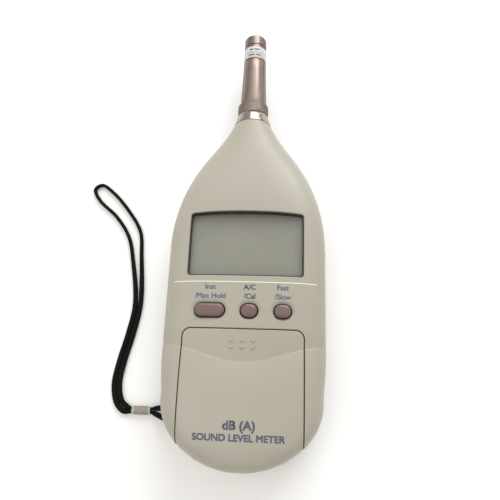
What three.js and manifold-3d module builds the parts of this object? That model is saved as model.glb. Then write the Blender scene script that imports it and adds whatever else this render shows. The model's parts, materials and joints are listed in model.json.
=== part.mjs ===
// Handheld sound level meter: plastic case with a display, three keys and a battery bay,
// a metal microphone stem on the neck, and a wrist strap on the lower left side.
// Millimetres. It lies on its back: +X right, +Y towards the microphone, +Z out of the front.
// The origin is at the middle of the back, level with the surface that the meter lies on.

import * as THREE from 'three';
import { mergeVertices } from 'three/addons/utils/BufferGeometryUtils.js';
import Module from 'manifold-3d';

const wasm = await Module();
wasm.setup();

// ---------------------------------------------------------------- driving dimensions

const HALF_LENGTH = 122.4; // origin to the bottom end and to the tip of the microphone

// Case outline, seen from the front.
const HALF_WIDTH = 41;
const END_HALF_WIDTH = 39.7; // where the elliptical bottom end starts
const END_Y = -90.4;
const END_LENGTH = HALF_LENGTH + END_Y;
const SIDE_Y = -70; // the sides are parallel from here to the shoulder
const SHOULDER_Y = -14;
const SHOULDER_RADIUS = 94.5;
const FLARE_Y = 42; // the shoulder arc meets the concave flare
const NECK_Y = 61.4;
const NECK_RADIUS = 10.5;
const NECK_SLOPE = -0.5;

// Case section, seen along the axis.
const AXIS_Z = 18; // parting plane of the case and axis of the microphone
const COVER_RISE = 17.2; // front above the parting plane, over the batteries
const PANEL_RISE = 15.6; // the same, over the keys and the display
const BACK_DROP = 18.3; // back below the parting plane, before it is cut flat
const FRONT_SHARPNESS = 3.6; // superellipse exponents; 2 is a plain ellipse
const BACK_SHARPNESS = 5;
const END_SHARPNESS = 5;
const PANEL_TOP_Y = 4; // the front slopes down to the neck from here
const BACK_TOP_Y = -15; // and the back slopes up to it from here
const WALL = 2.2;
const PARTING_GAP = 0.15; // half the groove between the two case halves

// Thumb scoop: its crease curves down across the cover.
const CREASE_Y = -64.4;
const SCOOP_TOP_Y = -57;
const CREASE_HALF_SPAN = 41.5;
const CREASE_DIP = 8.2;
const SCOOP_DEPTH = 0.9;
const LIP_DROP = 2.15; // the cover starts this much lower at the crease
const LIP_FROM = 0.97; // the scoop steps up to it between these shares of its run
const LIP_TO = 1.06;
const COVER_FLAT_Y = -88; // and reaches its full height here
const CREASE_FADE_Y = END_Y;

// Battery cover.
const COVER_HALF_WIDTH = 29.8;
const COVER_TOP_Y = -56.9;
const COVER_CORNER = 4.2;
const COVER_GAP = 0.3;
const COVER_WALL = 2;

// Display window.
const WINDOW_HALF_WIDTH = 28.8;
const WINDOW_BOTTOM_Y = -29.8;
const WINDOW_CORNER_Y = 2.6;
const WINDOW_ARCH = 1;
const WINDOW_CORNER = 1.6;
const WINDOW_DRAFT = 0.8; // the opening is this much wider at the front
const WINDOW_SKIRT = 1.6;
const SKIRT_Z = 29.9;

// Main board; everything electrical hangs on it.
const BOARD_BOTTOM = 21.4;
const BOARD_TOP = 23;
const BOARD_LOW_Y = -51.2;
const BOARD_HIGH_Y = 44;

// Keys.
const KEY_Y = -48;
const KEY_HEIGHT = 6.6;
const KEY_CLEARANCE = 0.4;
const KEY_TOP = 34.8;
const KEY_BOTTOM = 28.3;
const KEYS = [
  { name: 'hold', x: -16.8, length: 14.6 },
  { name: 'weighting', x: 2.7, length: 8.2 },
  { name: 'response', x: 19.2, length: 8.2 },
];

// Batteries: four AA cells side by side.
const CELL_RADIUS = 7.15;
const CELL_LENGTH = 50.5;
const CELL_PITCH = 14.8;
const CELL_Z = 22.4;
const CELL_LOW_Y = -107.4;
const SPRING_LENGTH = 2.4;
const TRAY_HALF_WIDTH = 31.3;
const TRAY_LOW_Y = -109.6;
const TRAY_HIGH_Y = -52;
const TRAY_FLOOR_Z = 13.3;
const TRAY_TOP_Z = 24;
const TRAY_WALL = 1.2;
const TRAY_FLOOR = 1.5;

// Microphone stem, along the axis.
const CONE_LOW_Y = 61.7;
const CONE_HIGH_Y = 67.8;
const RING_LOW_Y = 68.1;
const RING_HIGH_Y = 75.1;
const TUBE_LOW_Y = 75.4;
const TUBE_HIGH_Y = 105.2;
const CARTRIDGE_LOW_Y = 105.5;
const CARTRIDGE_HIGH_Y = 115.5;
const GRID_LOW_Y = 115.9;
const STEM_RADIUS = 6.6; // half-inch capsule with its grid

// Power switch on the right, output jack on the left.
const SWITCH_Y = -17.5;
const SWITCH_TRAVEL = 4;
const SWITCH_Z = 19.8;
const JACK_Y = -17;

const TRIPOD_Y = -24; // threaded insert in the back

// Strap bar and strap.
const BAR_X = -37.2;
const BAR_Y = -97.6;
const BAR_RADIUS = 0.8;
const STRAP_HALF_HEIGHT = 1.1;
const STRAP_WIDE = 1.32; // half widths of the flat strap: along the doubled run,
const STRAP_NARROW = 1; // in the open loop,
const STRAP_SQUEEZED = 0.8; // and inside the ferrule
const FERRULE = { x: -54.35, y: -96.9, z: 1.7, half: 3.75 };
const SLEEVE_HALF = 4.9;
const GRIP_SPREAD = 1.1; // how much wider the ferrule is than it is high

const GAP = 0.3; // left between pieces that touch on the real meter
const CASE_SCREWS = [
  { x: -18, y: 22, seat: 6.9, tip: 27 },
  { x: 18, y: 22, seat: 6.9, tip: 27 },
  { x: -22, y: -88, seat: 3.4, tip: 12 },
  { x: 22, y: -88, seat: 3.4, tip: 12 },
];
const BOARD_SCREWS = [
  { x: -29.5, y: -43 },
  { x: 29.5, y: -43 },
  { x: 0, y: 38.5 },
];

// ---------------------------------------------------------------- materials

function finish(color, roughness, metalness = 0) {
  return new THREE.MeshStandardMaterial({ color, roughness, metalness });
}

const caseBeige = finish(0xc9c5b6, 0.5);
const keyMauve = finish(0xa08280, 0.3);
const steel = finish(0x9a8f86, 0.3, 1);
const brightSteel = finish(0xd8cfc6, 0.15, 1);
const ringGrey = finish(0x8f8a80, 0.55, 0.8);
const brass = finish(0xb59a5b, 0.35, 1);
const glassClear = finish(0xb4b8a8, 0.1);
const lcdGrey = finish(0x979685, 0.4);
const blackPlastic = finish(0x222222, 0.5);
const boardGreen = finish(0x2f5a3c, 0.5);
const tinPlate = finish(0xb9bbbd, 0.35, 1);
const labelWhite = finish(0xe6e4de, 0.5);
const cellJacket = finish(0x3b4a63, 0.35);
const rubberRed = finish(0x9b2a25, 0.5);
const cordBlack = finish(0x1d1b1b, 0.9);
const sleeveGreen = finish(0xb9cdb6, 0.5);

// ---------------------------------------------------------------- solids

// Closed geometry to a solid that can be joined and cut, turned the right way out.
function solid(geometry) {
  const bare = geometry.clone();
  bare.deleteAttribute('normal');
  bare.deleteAttribute('uv');
  const welded = mergeVertices(bare, 1e-4);
  const positions = welded.getAttribute('position').array;
  const corners = welded.getIndex().array;
  const kept = [];
  for (let i = 0; i < corners.length; i += 3) {
    const [a, b, c] = [corners[i], corners[i + 1], corners[i + 2]];
    if (a !== b && b !== c && c !== a) kept.push(a, b, c);
  }
  if (signedVolume(positions, kept) < 0) kept.reverse();
  return new wasm.Manifold(new wasm.Mesh({
    numProp: 3,
    vertProperties: new Float32Array(positions),
    triVerts: new Uint32Array(kept),
  }));
}

function signedVolume(positions, corners) {
  const at = (i) => new THREE.Vector3().fromArray(positions, 3 * corners[i]);
  let sum = 0;
  for (let i = 0; i < corners.length; i += 3) {
    sum += at(i).dot(at(i + 1).cross(at(i + 2)));
  }
  return sum / 6;
}

function geometryOf(body) {
  const mesh = body.getMesh();
  const geometry = new THREE.BufferGeometry();
  geometry.setAttribute('position', new THREE.BufferAttribute(mesh.vertProperties, 3));
  geometry.setIndex(new THREE.BufferAttribute(mesh.triVerts, 1));
  geometry.computeVertexNormals();
  return geometry;
}

const join = (first, ...others) => others.reduce((body, other) => body.add(other), first);
const cut = (first, ...others) => others.reduce((body, other) => body.subtract(other), first);

// Box between two corners.
function box([x0, y0, z0], [x1, y1, z1]) {
  const geometry = new THREE.BoxGeometry(x1 - x0, y1 - y0, z1 - z0);
  return solid(geometry.translate((x0 + x1) / 2, (y0 + y1) / 2, (z0 + z1) / 2));
}

// Box that spans both sides of the middle plane.
const wideBox = (half, y0, y1, z0, z1) => box([-half, y0, z0], [half, y1, z1]);

// Round post standing along Z.
function post(radius, x, y, z0, z1, sides = 16) {
  const geometry = new THREE.CylinderGeometry(radius, radius, z1 - z0, sides);
  return solid(geometry.rotateX(Math.PI / 2).translate(x, y, (z0 + z1) / 2));
}

// Plate of a given outline between two heights.
function slab(shape, z0, z1, curveSegments = 6) {
  const options = { depth: z1 - z0, bevelEnabled: false, curveSegments };
  return solid(new THREE.ExtrudeGeometry(shape, options).translate(0, 0, z0));
}

// Profile of [radius, y] points turned about the microphone's axis.
function turned(profile, sides = 20) {
  const points = profile.map(([radius, y]) => new THREE.Vector2(radius, y));
  return solid(new THREE.LatheGeometry(points, sides).translate(0, 0, AXIS_Z));
}

// Tube of the given wall: [outer radius, y] points outside and a plain bore inside.
function turnedTube(outside, bore, sides = 24) {
  const low = outside[0][1];
  const high = outside[outside.length - 1][1];
  return turned([[bore, low], ...outside, [bore, high], [bore, low]], sides);
}

// Skin through rings of equal point count, closed by a fan to a pole at each end.
function loft(rings, firstPole, lastPole) {
  const count = rings[0].length;
  const points = [firstPole, ...rings.flat(), lastPole];
  const last = points.length - 1;
  const corners = [];
  const at = (ring, i) => 1 + ring * count + (i % count);
  for (let i = 0; i < count; i += 1) {
    corners.push(0, at(0, i), at(0, i + 1));
    corners.push(last, at(rings.length - 1, i + 1), at(rings.length - 1, i));
  }
  for (let ring = 0; ring < rings.length - 1; ring += 1) {
    for (let i = 0; i < count; i += 1) {
      corners.push(at(ring, i), at(ring + 1, i), at(ring + 1, i + 1));
      corners.push(at(ring, i), at(ring + 1, i + 1), at(ring, i + 1));
    }
  }
  const geometry = new THREE.BufferGeometry().setFromPoints(points);
  geometry.setIndex(corners);
  return solid(geometry);
}

// Prism along Z whose outline differs between its levels; each level is [shape, z].
function tapered(levels, curveSegments = 6) {
  const rings = levels.map(([shape, z]) => shape.extractPoints(curveSegments).shape
    .slice(0, -1)
    .map((point) => new THREE.Vector3(point.x, point.y, z)));
  const middle = (ring) => new THREE.Box3().setFromPoints(ring).getCenter(new THREE.Vector3());
  return loft(rings, middle(rings[0]), middle(rings[rings.length - 1]));
}

// Round cord or wire along a smooth route.
function cord(route, radius, steps, sides) {
  const section = new THREE.Shape();
  for (let i = 0; i < sides; i += 1) {
    const turn = (2 * Math.PI * i) / sides;
    section[i === 0 ? 'moveTo' : 'lineTo'](radius * Math.cos(turn), radius * Math.sin(turn));
  }
  const points = route.map((point) => new THREE.Vector3(...point));
  const extrudePath = new THREE.CatmullRomCurve3(points, false, 'centripetal');
  return solid(new THREE.ExtrudeGeometry(section, { steps, extrudePath, bevelEnabled: false }));
}

// Slot outline with round ends, centred on x, y.
function obround(length, height, x, y) {
  const radius = height / 2;
  const reach = length / 2 - radius;
  const shape = new THREE.Shape();
  shape.moveTo(x - reach, y - radius);
  shape.lineTo(x + reach, y - radius);
  shape.absarc(x + reach, y, radius, -Math.PI / 2, Math.PI / 2);
  shape.lineTo(x - reach, y + radius);
  shape.absarc(x - reach, y, radius, Math.PI / 2, 1.5 * Math.PI);
  return shape;
}

// ---------------------------------------------------------------- shape of the case

// Smooth step from 0 to 1 between two stations.
function fade(y, from, to) {
  return THREE.MathUtils.smoothstep(y, from, to);
}

// Cubic between two stations with given values and slopes.
function cubic(y, [y0, value0, slope0], [y1, value1, slope1]) {
  const span = y1 - y0;
  const t = (y - y0) / span;
  const rest = 1 - t;
  return value0 * (1 + 2 * t) * rest * rest + value1 * (3 - 2 * t) * t * t
    + slope0 * span * t * rest * rest - slope1 * span * t * t * rest;
}

// How far a station is round the bottom end: 0 at its start, 1 at the tip.
const roundEnd = (y, inset) => Math.max(0, END_Y - y) / (END_LENGTH - inset);

function halfWidth(y, inset) {
  const end = Math.sqrt(1 - roundEnd(y, inset) ** 2);
  const side = END_HALF_WIDTH + (HALF_WIDTH - END_HALF_WIDTH) * fade(y, END_Y, SIDE_Y);
  if (y < SHOULDER_Y) return (side - inset) * end;
  if (y < FLARE_Y) return shoulderHalfWidth(y) - inset;
  const shoulderSlope = -(FLARE_Y - SHOULDER_Y)
    / Math.sqrt(SHOULDER_RADIUS ** 2 - (FLARE_Y - SHOULDER_Y) ** 2);
  const flareStart = [FLARE_Y, shoulderHalfWidth(FLARE_Y), shoulderSlope];
  return cubic(y, flareStart, [NECK_Y, NECK_RADIUS, NECK_SLOPE]) - inset;
}

function shoulderHalfWidth(y) {
  const drop = SHOULDER_RADIUS - Math.sqrt(SHOULDER_RADIUS ** 2 - (y - SHOULDER_Y) ** 2);
  return HALF_WIDTH - drop;
}

const endFactor = (y, inset) => (
  (1 - roundEnd(y, inset) ** END_SHARPNESS) ** (1 / END_SHARPNESS)
);

// The scoop falls away towards the crease, and a small lip steps up from it to the cover.
function scoopRise(y) {
  const ramp = (SCOOP_TOP_Y - y) / (SCOOP_TOP_Y - CREASE_Y);
  const scoop = PANEL_RISE - SCOOP_DEPTH * Math.min(1, ramp) ** 1.5;
  const past = THREE.MathUtils.clamp((CREASE_Y - y) / (CREASE_Y - COVER_FLAT_Y), 0, 1);
  const cover = COVER_RISE - LIP_DROP * (1 - past) ** 2;
  return THREE.MathUtils.lerp(scoop, cover, fade(ramp, LIP_FROM, LIP_TO));
}

function frontRise(y, inset) {
  if (y < SCOOP_TOP_Y) return (scoopRise(y) - inset) * endFactor(y, inset);
  if (y < PANEL_TOP_Y) return PANEL_RISE - inset;
  return cubic(y, [PANEL_TOP_Y, PANEL_RISE, 0], [NECK_Y, NECK_RADIUS, -0.12]) - inset;
}

function backDrop(y, inset) {
  if (y < BACK_TOP_Y) return (BACK_DROP - inset) * endFactor(y, inset);
  return cubic(y, [BACK_TOP_Y, BACK_DROP, 0], [NECK_Y, NECK_RADIUS, -0.2]) - inset;
}

// The crease of the scoop dips towards the bottom end in the middle of the cover.
function creaseShift(y, x) {
  const reach = Math.min(1, Math.abs(x) / CREASE_HALF_SPAN);
  const dip = (CREASE_DIP * (1 + Math.cos(Math.PI * reach))) / 2;
  const above = THREE.MathUtils.clamp((SCOOP_TOP_Y - y) / (SCOOP_TOP_Y - CREASE_Y), 0, 1);
  const below = THREE.MathUtils.clamp((y - CREASE_FADE_Y) / (CREASE_Y - CREASE_FADE_Y), 0, 1);
  return -dip * Math.min(above, below);
}

const signedPower = (value, power) => Math.sign(value) * Math.abs(value) ** power;

function caseRing(y, inset, sides) {
  const ring = [];
  for (let i = 0; i < sides; i += 1) {
    const turn = (2 * Math.PI * i) / sides;
    const front = i <= sides / 2;
    const sharp = front ? FRONT_SHARPNESS : BACK_SHARPNESS;
    const power = 2 / THREE.MathUtils.lerp(sharp, 2, fade(y, -5, 55));
    const reach = front ? frontRise(y, inset) : backDrop(y, inset);
    const x = halfWidth(y, inset) * signedPower(Math.cos(turn), power);
    const z = AXIS_Z + reach * signedPower(Math.sin(turn), power);
    ring.push(new THREE.Vector3(x, front ? y + creaseShift(y, x) : y, z));
  }
  return ring;
}

const lipStation = (share) => SCOOP_TOP_Y - share * (SCOOP_TOP_Y - CREASE_Y);

// The whole case as one solid, shrunk by an inset and ending at topY.
function caseBody(inset, topY, sides, upperStations) {
  const stations = [];
  for (let step = 5; step > 0; step -= 1) {
    const turn = (step / 6) * (Math.PI / 2);
    stations.push(END_Y - (END_LENGTH - inset) * Math.sin(turn));
  }
  stations.push(END_Y, COVER_FLAT_Y, -80, -72, lipStation(LIP_TO), lipStation(1),
    lipStation(LIP_FROM), -61, SCOOP_TOP_Y, -36, SHOULDER_Y);
  for (let step = 1; step <= upperStations; step += 1) {
    stations.push(THREE.MathUtils.lerp(SHOULDER_Y, topY, step / upperStations));
  }
  const rings = stations.map((y) => caseRing(y, inset, sides));
  const tip = new THREE.Vector3(0, -HALF_LENGTH + inset, AXIS_Z);
  return loft(rings, tip, new THREE.Vector3(0, topY, AXIS_Z));
}

function coverOutline(grow) {
  const half = COVER_HALF_WIDTH + grow;
  const top = COVER_TOP_Y + grow;
  const corner = COVER_CORNER + grow;
  const shape = new THREE.Shape();
  shape.moveTo(-half, -HALF_LENGTH - 5);
  shape.lineTo(half, -HALF_LENGTH - 5);
  shape.lineTo(half, top - corner);
  shape.absarc(half - corner, top - corner, corner, 0, Math.PI / 2);
  shape.lineTo(corner - half, top);
  shape.absarc(corner - half, top - corner, corner, Math.PI / 2, Math.PI);
  return shape;
}

function windowOutline(grow) {
  const half = WINDOW_HALF_WIDTH + grow;
  const low = WINDOW_BOTTOM_Y - grow;
  const high = WINDOW_CORNER_Y + grow;
  const r = WINDOW_CORNER;
  const shape = new THREE.Shape();
  shape.moveTo(-half + r, low);
  shape.lineTo(half - r, low);
  shape.quadraticCurveTo(half, low, half, low + r);
  shape.lineTo(half, high - r);
  shape.quadraticCurveTo(half, high, half - r, high + 0.2);
  shape.quadraticCurveTo(0, high + 2 * WINDOW_ARCH, -half + r, high + 0.2);
  shape.quadraticCurveTo(-half, high, -half, high - r);
  shape.lineTo(-half, low + r);
  shape.quadraticCurveTo(-half, low, -half + r, low);
  return shape;
}

// ---------------------------------------------------------------- case and cover

const BIG = 200;
const outer = caseBody(0, NECK_Y, 28, 9);
const inner = caseBody(WALL, NECK_Y - 6.4, 20, 5);
const above = (z) => wideBox(BIG, -BIG, BIG, z, BIG);
const below = (z) => wideBox(BIG, -BIG, BIG, -BIG, z);

// Plain bore along the microphone's axis through the neck.
const neckBore = turned([[0, NECK_Y - 12], [6.7, NECK_Y - 12], [6.7, NECK_Y + 2], [0, NECK_Y + 2]]);
const jackBore = solid(new THREE.CylinderGeometry(3.3, 3.3, 12, 16)
  .rotateZ(Math.PI / 2)
  .translate(-HALF_WIDTH, JACK_Y, AXIS_Z));

function frontCase() {
  const shell = cut(outer.intersect(above(AXIS_Z + PARTING_GAP)), inner);
  const skirt = slab(windowOutline(WINDOW_DRAFT + WINDOW_SKIRT), SKIRT_Z, BIG).intersect(outer);
  const screwBosses = CASE_SCREWS.filter((screw) => screw.y > 0)
    .map(({ x, y }) => post(3, x, y, AXIS_Z + PARTING_GAP, BIG).intersect(outer));
  const boardBosses = BOARD_SCREWS
    .map(({ x, y }) => post(2.3, x, y, BOARD_TOP + GAP, BIG, 12).intersect(outer));
  const body = join(shell, skirt, ...screwBosses, ...boardBosses);
  const pilots = [
    ...CASE_SCREWS.filter((screw) => screw.y > 0).map(({ x, y, tip }) => (
      post(1.6, x, y, 0, tip + 0.5, 12))),
    ...BOARD_SCREWS.map(({ x, y }) => post(1.25, x, y, 0, 28, 10)),
  ];
  const keyHoles = KEYS.map(({ x, length }) => (
    slab(obround(length + 2 * KEY_CLEARANCE, KEY_HEIGHT + 2 * KEY_CLEARANCE, x, KEY_Y), 25, BIG)));
  const window = tapered([[windowOutline(0), SKIRT_Z - 2], [windowOutline(0), SKIRT_Z],
    [windowOutline(WINDOW_DRAFT), 34], [windowOutline(WINDOW_DRAFT), 40]]);
  const windowPocket = wideBox(31.9, -32.9, 6.5, 20, SKIRT_Z);
  return cut(body, window, windowPocket, ...pilots, ...keyHoles, neckBore, jackBore,
    slab(coverOutline(COVER_GAP / 2), AXIS_Z - 1, BIG), ...switchCuts());
}

// Recess for the power knob, and the slot that its stem runs in.
function switchCuts() {
  const high = SWITCH_Y + SWITCH_TRAVEL;
  return [
    box([39.3, SWITCH_Y - 3.6, AXIS_Z - 1], [BIG, high + 3.6, 23.2]),
    box([36, SWITCH_Y - 1.7, 18], [BIG, high + 1.7, 21.1]),
  ];
}

function batteryCover() {
  const panel = cut(outer.intersect(above(AXIS_Z + PARTING_GAP)), caseBody(COVER_WALL, 0, 20, 2));
  const shell = panel.intersect(slab(coverOutline(-COVER_GAP / 2), 0, BIG));
  const web = wideBox(14, -60, -57.3, 29.85, 32.5);
  const lip = wideBox(14, -58, -54.2, 29.85, 30.95);
  const ribs = [-CELL_PITCH, 0, CELL_PITCH].map((x) => (
    box([x - 0.6, -103, 30.1], [x + 0.6, -91, 34])));
  return join(shell, web, lip, ...ribs);
}

const plateOutline = (half) => obround(2 * half, 24, 0, -58);

function rearCase() {
  const shell = cut(outer.intersect(below(AXIS_Z - PARTING_GAP)), inner);
  const posts = CASE_SCREWS.map(({ x, y, seat }) => (
    post(3.6, x, y, 0, y > 0 ? AXIS_Z - PARTING_GAP : seat + 4.3).intersect(outer)));
  const tripodBoss = post(6.6, 0, TRIPOD_Y, 0, 10.6, 20).intersect(outer);
  const strapBlock = box([-BIG, BAR_Y - 6, 2], [-31.4, BAR_Y + 6, 13]).intersect(outer);
  const body = join(shell, ...posts, tripodBoss, strapBlock);
  const screwHoles = CASE_SCREWS.flatMap(({ x, y, seat }) => [
    post(1.6, x, y, -1, 20, 12),
    post(3, x, y, -1, seat, 12),
  ]);
  const strapPocket = box([-BIG, BAR_Y - 4.4, 4.8], [-32.8, BAR_Y + 4.4, 11.2]);
  return cut(body, below(0), ...screwHoles, post(4.8, 0, TRIPOD_Y, -1, 9.3, 20),
    strapPocket, post(BAR_RADIUS + 0.25, BAR_X, BAR_Y, 3.2, 12.2, 12),
    slab(plateOutline(26.4), -1, 0.75), neckBore, jackBore);
}

// ---------------------------------------------------------------- display

const LCD = { half: 30.2, low: -31.6, high: 4.6, bottom: 25, top: 27.6 };

function lcdFrame() {
  const { half, low, high, top } = LCD;
  const ring = wideBox(half + 1.7, low - 1.9, high + 1.7, BOARD_TOP + GAP, top);
  return cut(ring, wideBox(half + GAP, low - GAP, high + GAP, 20, 30));
}

const lcdConnector = () => (
  wideBox(27, LCD.low + 0.4, LCD.low + 2.4, BOARD_TOP + GAP, LCD.bottom - GAP));

// ---------------------------------------------------------------- boards and parts on them

function mainBoard() {
  const shape = new THREE.Shape();
  shape.moveTo(-33, BOARD_LOW_Y);
  shape.lineTo(33, BOARD_LOW_Y);
  shape.lineTo(33, 12);
  shape.lineTo(13.8, 16);
  shape.lineTo(13.8, BOARD_HIGH_Y);
  shape.lineTo(-13.8, BOARD_HIGH_Y);
  shape.lineTo(-13.8, 16);
  shape.lineTo(-33, 12);
  const holes = BOARD_SCREWS.map(({ x, y }) => post(1.4, x, y, 20, 24, 12));
  return cut(slab(shape, BOARD_BOTTOM, BOARD_TOP), ...holes);
}

function shieldCan() {
  const top = 26.6;
  const can = wideBox(11.5, 10, 33, BOARD_TOP + GAP, top);
  return cut(can, wideBox(11.1, 10.4, 32.6, BOARD_TOP, top - 0.4));
}

function keycap({ x, length }) {
  const outline = (grow) => obround(length + 2 * grow, KEY_HEIGHT + 2 * grow, x, KEY_Y);
  const flange = slab(outline(0.9), KEY_BOTTOM, KEY_BOTTOM + 1.2);
  const cap = tapered([[outline(0), KEY_BOTTOM + 0.5], [outline(0), KEY_TOP - 1],
    [outline(-0.35), KEY_TOP - 0.3], [outline(-1.1), KEY_TOP]], 5);
  return join(flange, cap);
}

const switchHousing = ({ x }) => cut(
  box([x - 3, KEY_Y - 3, BOARD_TOP + GAP], [x + 3, KEY_Y + 3, 26.8]),
  post(2, x, KEY_Y, 24.6, 30),
);

// ---------------------------------------------------------------- power switch and jack

const knobStem = (grow) => [
  [33.4 - grow, SWITCH_Y - 1.2 - grow, SWITCH_Z - 0.9 - grow],
  [40, SWITCH_Y + 1.2 + grow, SWITCH_Z + 0.9 + grow],
];

function powerKnob() {
  const cap = box([39.6, SWITCH_Y - 3, 18.6], [40.7, SWITCH_Y + 3, 22.8]);
  const ridges = [-2, 0, 2].map((dy) => (
    box([40.5, SWITCH_Y + dy - 0.4, 18.9], [40.95, SWITCH_Y + dy + 0.4, 22.5])));
  return join(cap, box(...knobStem(0)), ...ridges);
}

function powerSwitch() {
  const body = box([27.5, SWITCH_Y - 5, 17.2], [35.6, SWITCH_Y + SWITCH_TRAVEL + 5, 21.1]);
  const [low, high] = knobStem(GAP);
  return cut(body, box(low, [high[0], high[1] + SWITCH_TRAVEL, high[2]]));
}

function outputJack() {
  const alongX = (radius, x0, x1) => solid(new THREE.CylinderGeometry(radius, radius, x1 - x0, 16)
    .rotateZ(Math.PI / 2)
    .translate((x0 + x1) / 2, JACK_Y, AXIS_Z));
  const body = join(box([-37.6, JACK_Y - 4, 15], [-26, JACK_Y + 4, 21.1]), alongX(2.9, -40.6, -37));
  return cut(body, alongX(1.75, -42, -28));
}

// ---------------------------------------------------------------- batteries

const cellX = (index) => (index - 1.5) * CELL_PITCH;
const noseUp = (index) => index % 2 === 0; // the cells lie head to tail
const cellLow = (index) => CELL_LOW_Y + (noseUp(index) ? SPRING_LENGTH + GAP : 0);

function cell(index) {
  const radius = CELL_RADIUS;
  const half = CELL_LENGTH / 2;
  const profile = [[0, -half], [radius - 1.6, -half], [radius, -half + 0.8],
    [radius, half - 2], [radius - 1, half - 1.2], [2.7, half - 1.2], [2.7, half], [0, half]];
  const points = profile.map(([r, y]) => new THREE.Vector2(r, y));
  const geometry = new THREE.LatheGeometry(points, 20);
  if (!noseUp(index)) geometry.rotateZ(Math.PI);
  return solid(geometry.translate(cellX(index), cellLow(index) + half, CELL_Z));
}

const PLATE = 0.4;
const LOW_PLATE_Y = CELL_LOW_Y - GAP - PLATE;
const HIGH_PLATE_Y = CELL_LOW_Y + CELL_LENGTH + SPRING_LENGTH + 2 * GAP;

// Coil spring from a plate's face to the flat end of a cell.
function cellSpring(index) {
  const turns = 2.5;
  const stepsPerTurn = 8;
  const wire = 0.35;
  const coil = 3.2;
  const [foot, top] = noseUp(index)
    ? [LOW_PLATE_Y + PLATE + wire / 2, cellLow(index) - GAP - wire]
    : [HIGH_PLATE_Y - wire / 2, cellLow(index) + CELL_LENGTH + GAP + wire];
  const steps = turns * stepsPerTurn;
  const route = [];
  for (let step = 0; step <= steps; step += 1) {
    const turn = (step / stepsPerTurn) * 2 * Math.PI;
    const y = THREE.MathUtils.lerp(foot, top, step / steps);
    route.push([cellX(index) + coil * Math.cos(turn), y, CELL_Z + coil * Math.sin(turn)]);
  }
  return cord(route, wire, steps, 5);
}

// Thin contact plate across the ends of one or two cells, with the springs it carries.
function contactPlate(first, last, y) {
  const reach = 6;
  const plate = box([cellX(first) - reach, y, 17.8], [cellX(last) + reach, y + PLATE, 26.8]);
  const sprung = [first, last].filter((index, i, all) => (
    all.indexOf(index) === i && noseUp(index) === (y === LOW_PLATE_Y)));
  return join(plate, ...sprung.map(cellSpring));
}

function batteryTray() {
  const bay = [TRAY_LOW_Y + TRAY_WALL, TRAY_HIGH_Y - TRAY_WALL];
  const shell = cut(
    wideBox(TRAY_HALF_WIDTH, TRAY_LOW_Y, TRAY_HIGH_Y, TRAY_FLOOR_Z, TRAY_TOP_Z),
    wideBox(TRAY_HALF_WIDTH - TRAY_WALL, ...bay, TRAY_FLOOR_Z + TRAY_FLOOR, BIG),
  );
  const ribs = [-1, 0, 1].map((i) => (
    box([i * CELL_PITCH - 0.8, bay[0], TRAY_FLOOR_Z], [i * CELL_PITCH + 0.8, bay[1], 17.4])));
  const bosses = CASE_SCREWS.filter((screw) => screw.y < 0)
    .map(({ x, y, seat }) => post(3, x, y, seat + 4.6, TRAY_FLOOR_Z + 0.5));
  const pilots = CASE_SCREWS.filter((screw) => screw.y < 0)
    .map(({ x, y, tip }) => post(1.6, x, y, 0, tip + 0.5, 12));
  return cut(join(shell, ...ribs, ...bosses), ...pilots)
    .intersect(caseBody(WALL + 0.5, 0, 20, 2));
}

const batteryLead = (x) => cord([[x, TRAY_HIGH_Y + 1, 17], [x, TRAY_HIGH_Y + 2.2, 17.6],
  [x, TRAY_HIGH_Y + 4.6, 19.4], [x, TRAY_HIGH_Y + 5.2, BOARD_BOTTOM - GAP]], 0.6, 6, 8);

// ---------------------------------------------------------------- microphone stem

const neckSocket = () => turned([[4.6, NECK_Y - 13], [6.4, NECK_Y - 13], [6.4, CONE_LOW_Y],
  [10.5, CONE_LOW_Y], [9.7, CONE_LOW_Y + 3], [9, CONE_HIGH_Y], [6.9, CONE_HIGH_Y],
  [6.9, RING_HIGH_Y - 1.5], [4.6, RING_HIGH_Y - 1.5], [4.6, NECK_Y - 13]], 24);

function neckNut() {
  const y = NECK_Y - 9;
  const hex = turned([[0, y], [8.6, y], [8.6, y + 2.3], [0, y + 2.3]], 6);
  return cut(hex, turned([[0, y - 1], [6.7, y - 1], [6.7, y + 4], [0, y + 4]]));
}

const lockRing = () => turnedTube([[8.6, RING_LOW_Y], [8.9, RING_LOW_Y + 0.4],
  [8.6, RING_HIGH_Y - 0.4], [8.3, RING_HIGH_Y]], 7.25);

const preampTube = () => turnedTube([[7.4, TUBE_LOW_Y], [7.6, TUBE_LOW_Y + 0.3], [7.25, 84],
  [6.95, 93], [STEM_RADIUS + 0.05, TUBE_HIGH_Y]], 5.6);

const LABEL = { low: CARTRIDGE_LOW_Y + 0.4, high: 113.7, recess: 6.1 };

const micCartridge = () => turnedTube([[STEM_RADIUS, CARTRIDGE_LOW_Y], [STEM_RADIUS, LABEL.low],
  [LABEL.recess, LABEL.low], [LABEL.recess, LABEL.high], [STEM_RADIUS, LABEL.high],
  [STEM_RADIUS, CARTRIDGE_HIGH_Y]], 5.5);

const micLabel = () => turnedTube([[STEM_RADIUS + 0.02, LABEL.low + 0.15],
  [STEM_RADIUS + 0.02, LABEL.high - 0.15]], LABEL.recess + 0.25);

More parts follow.
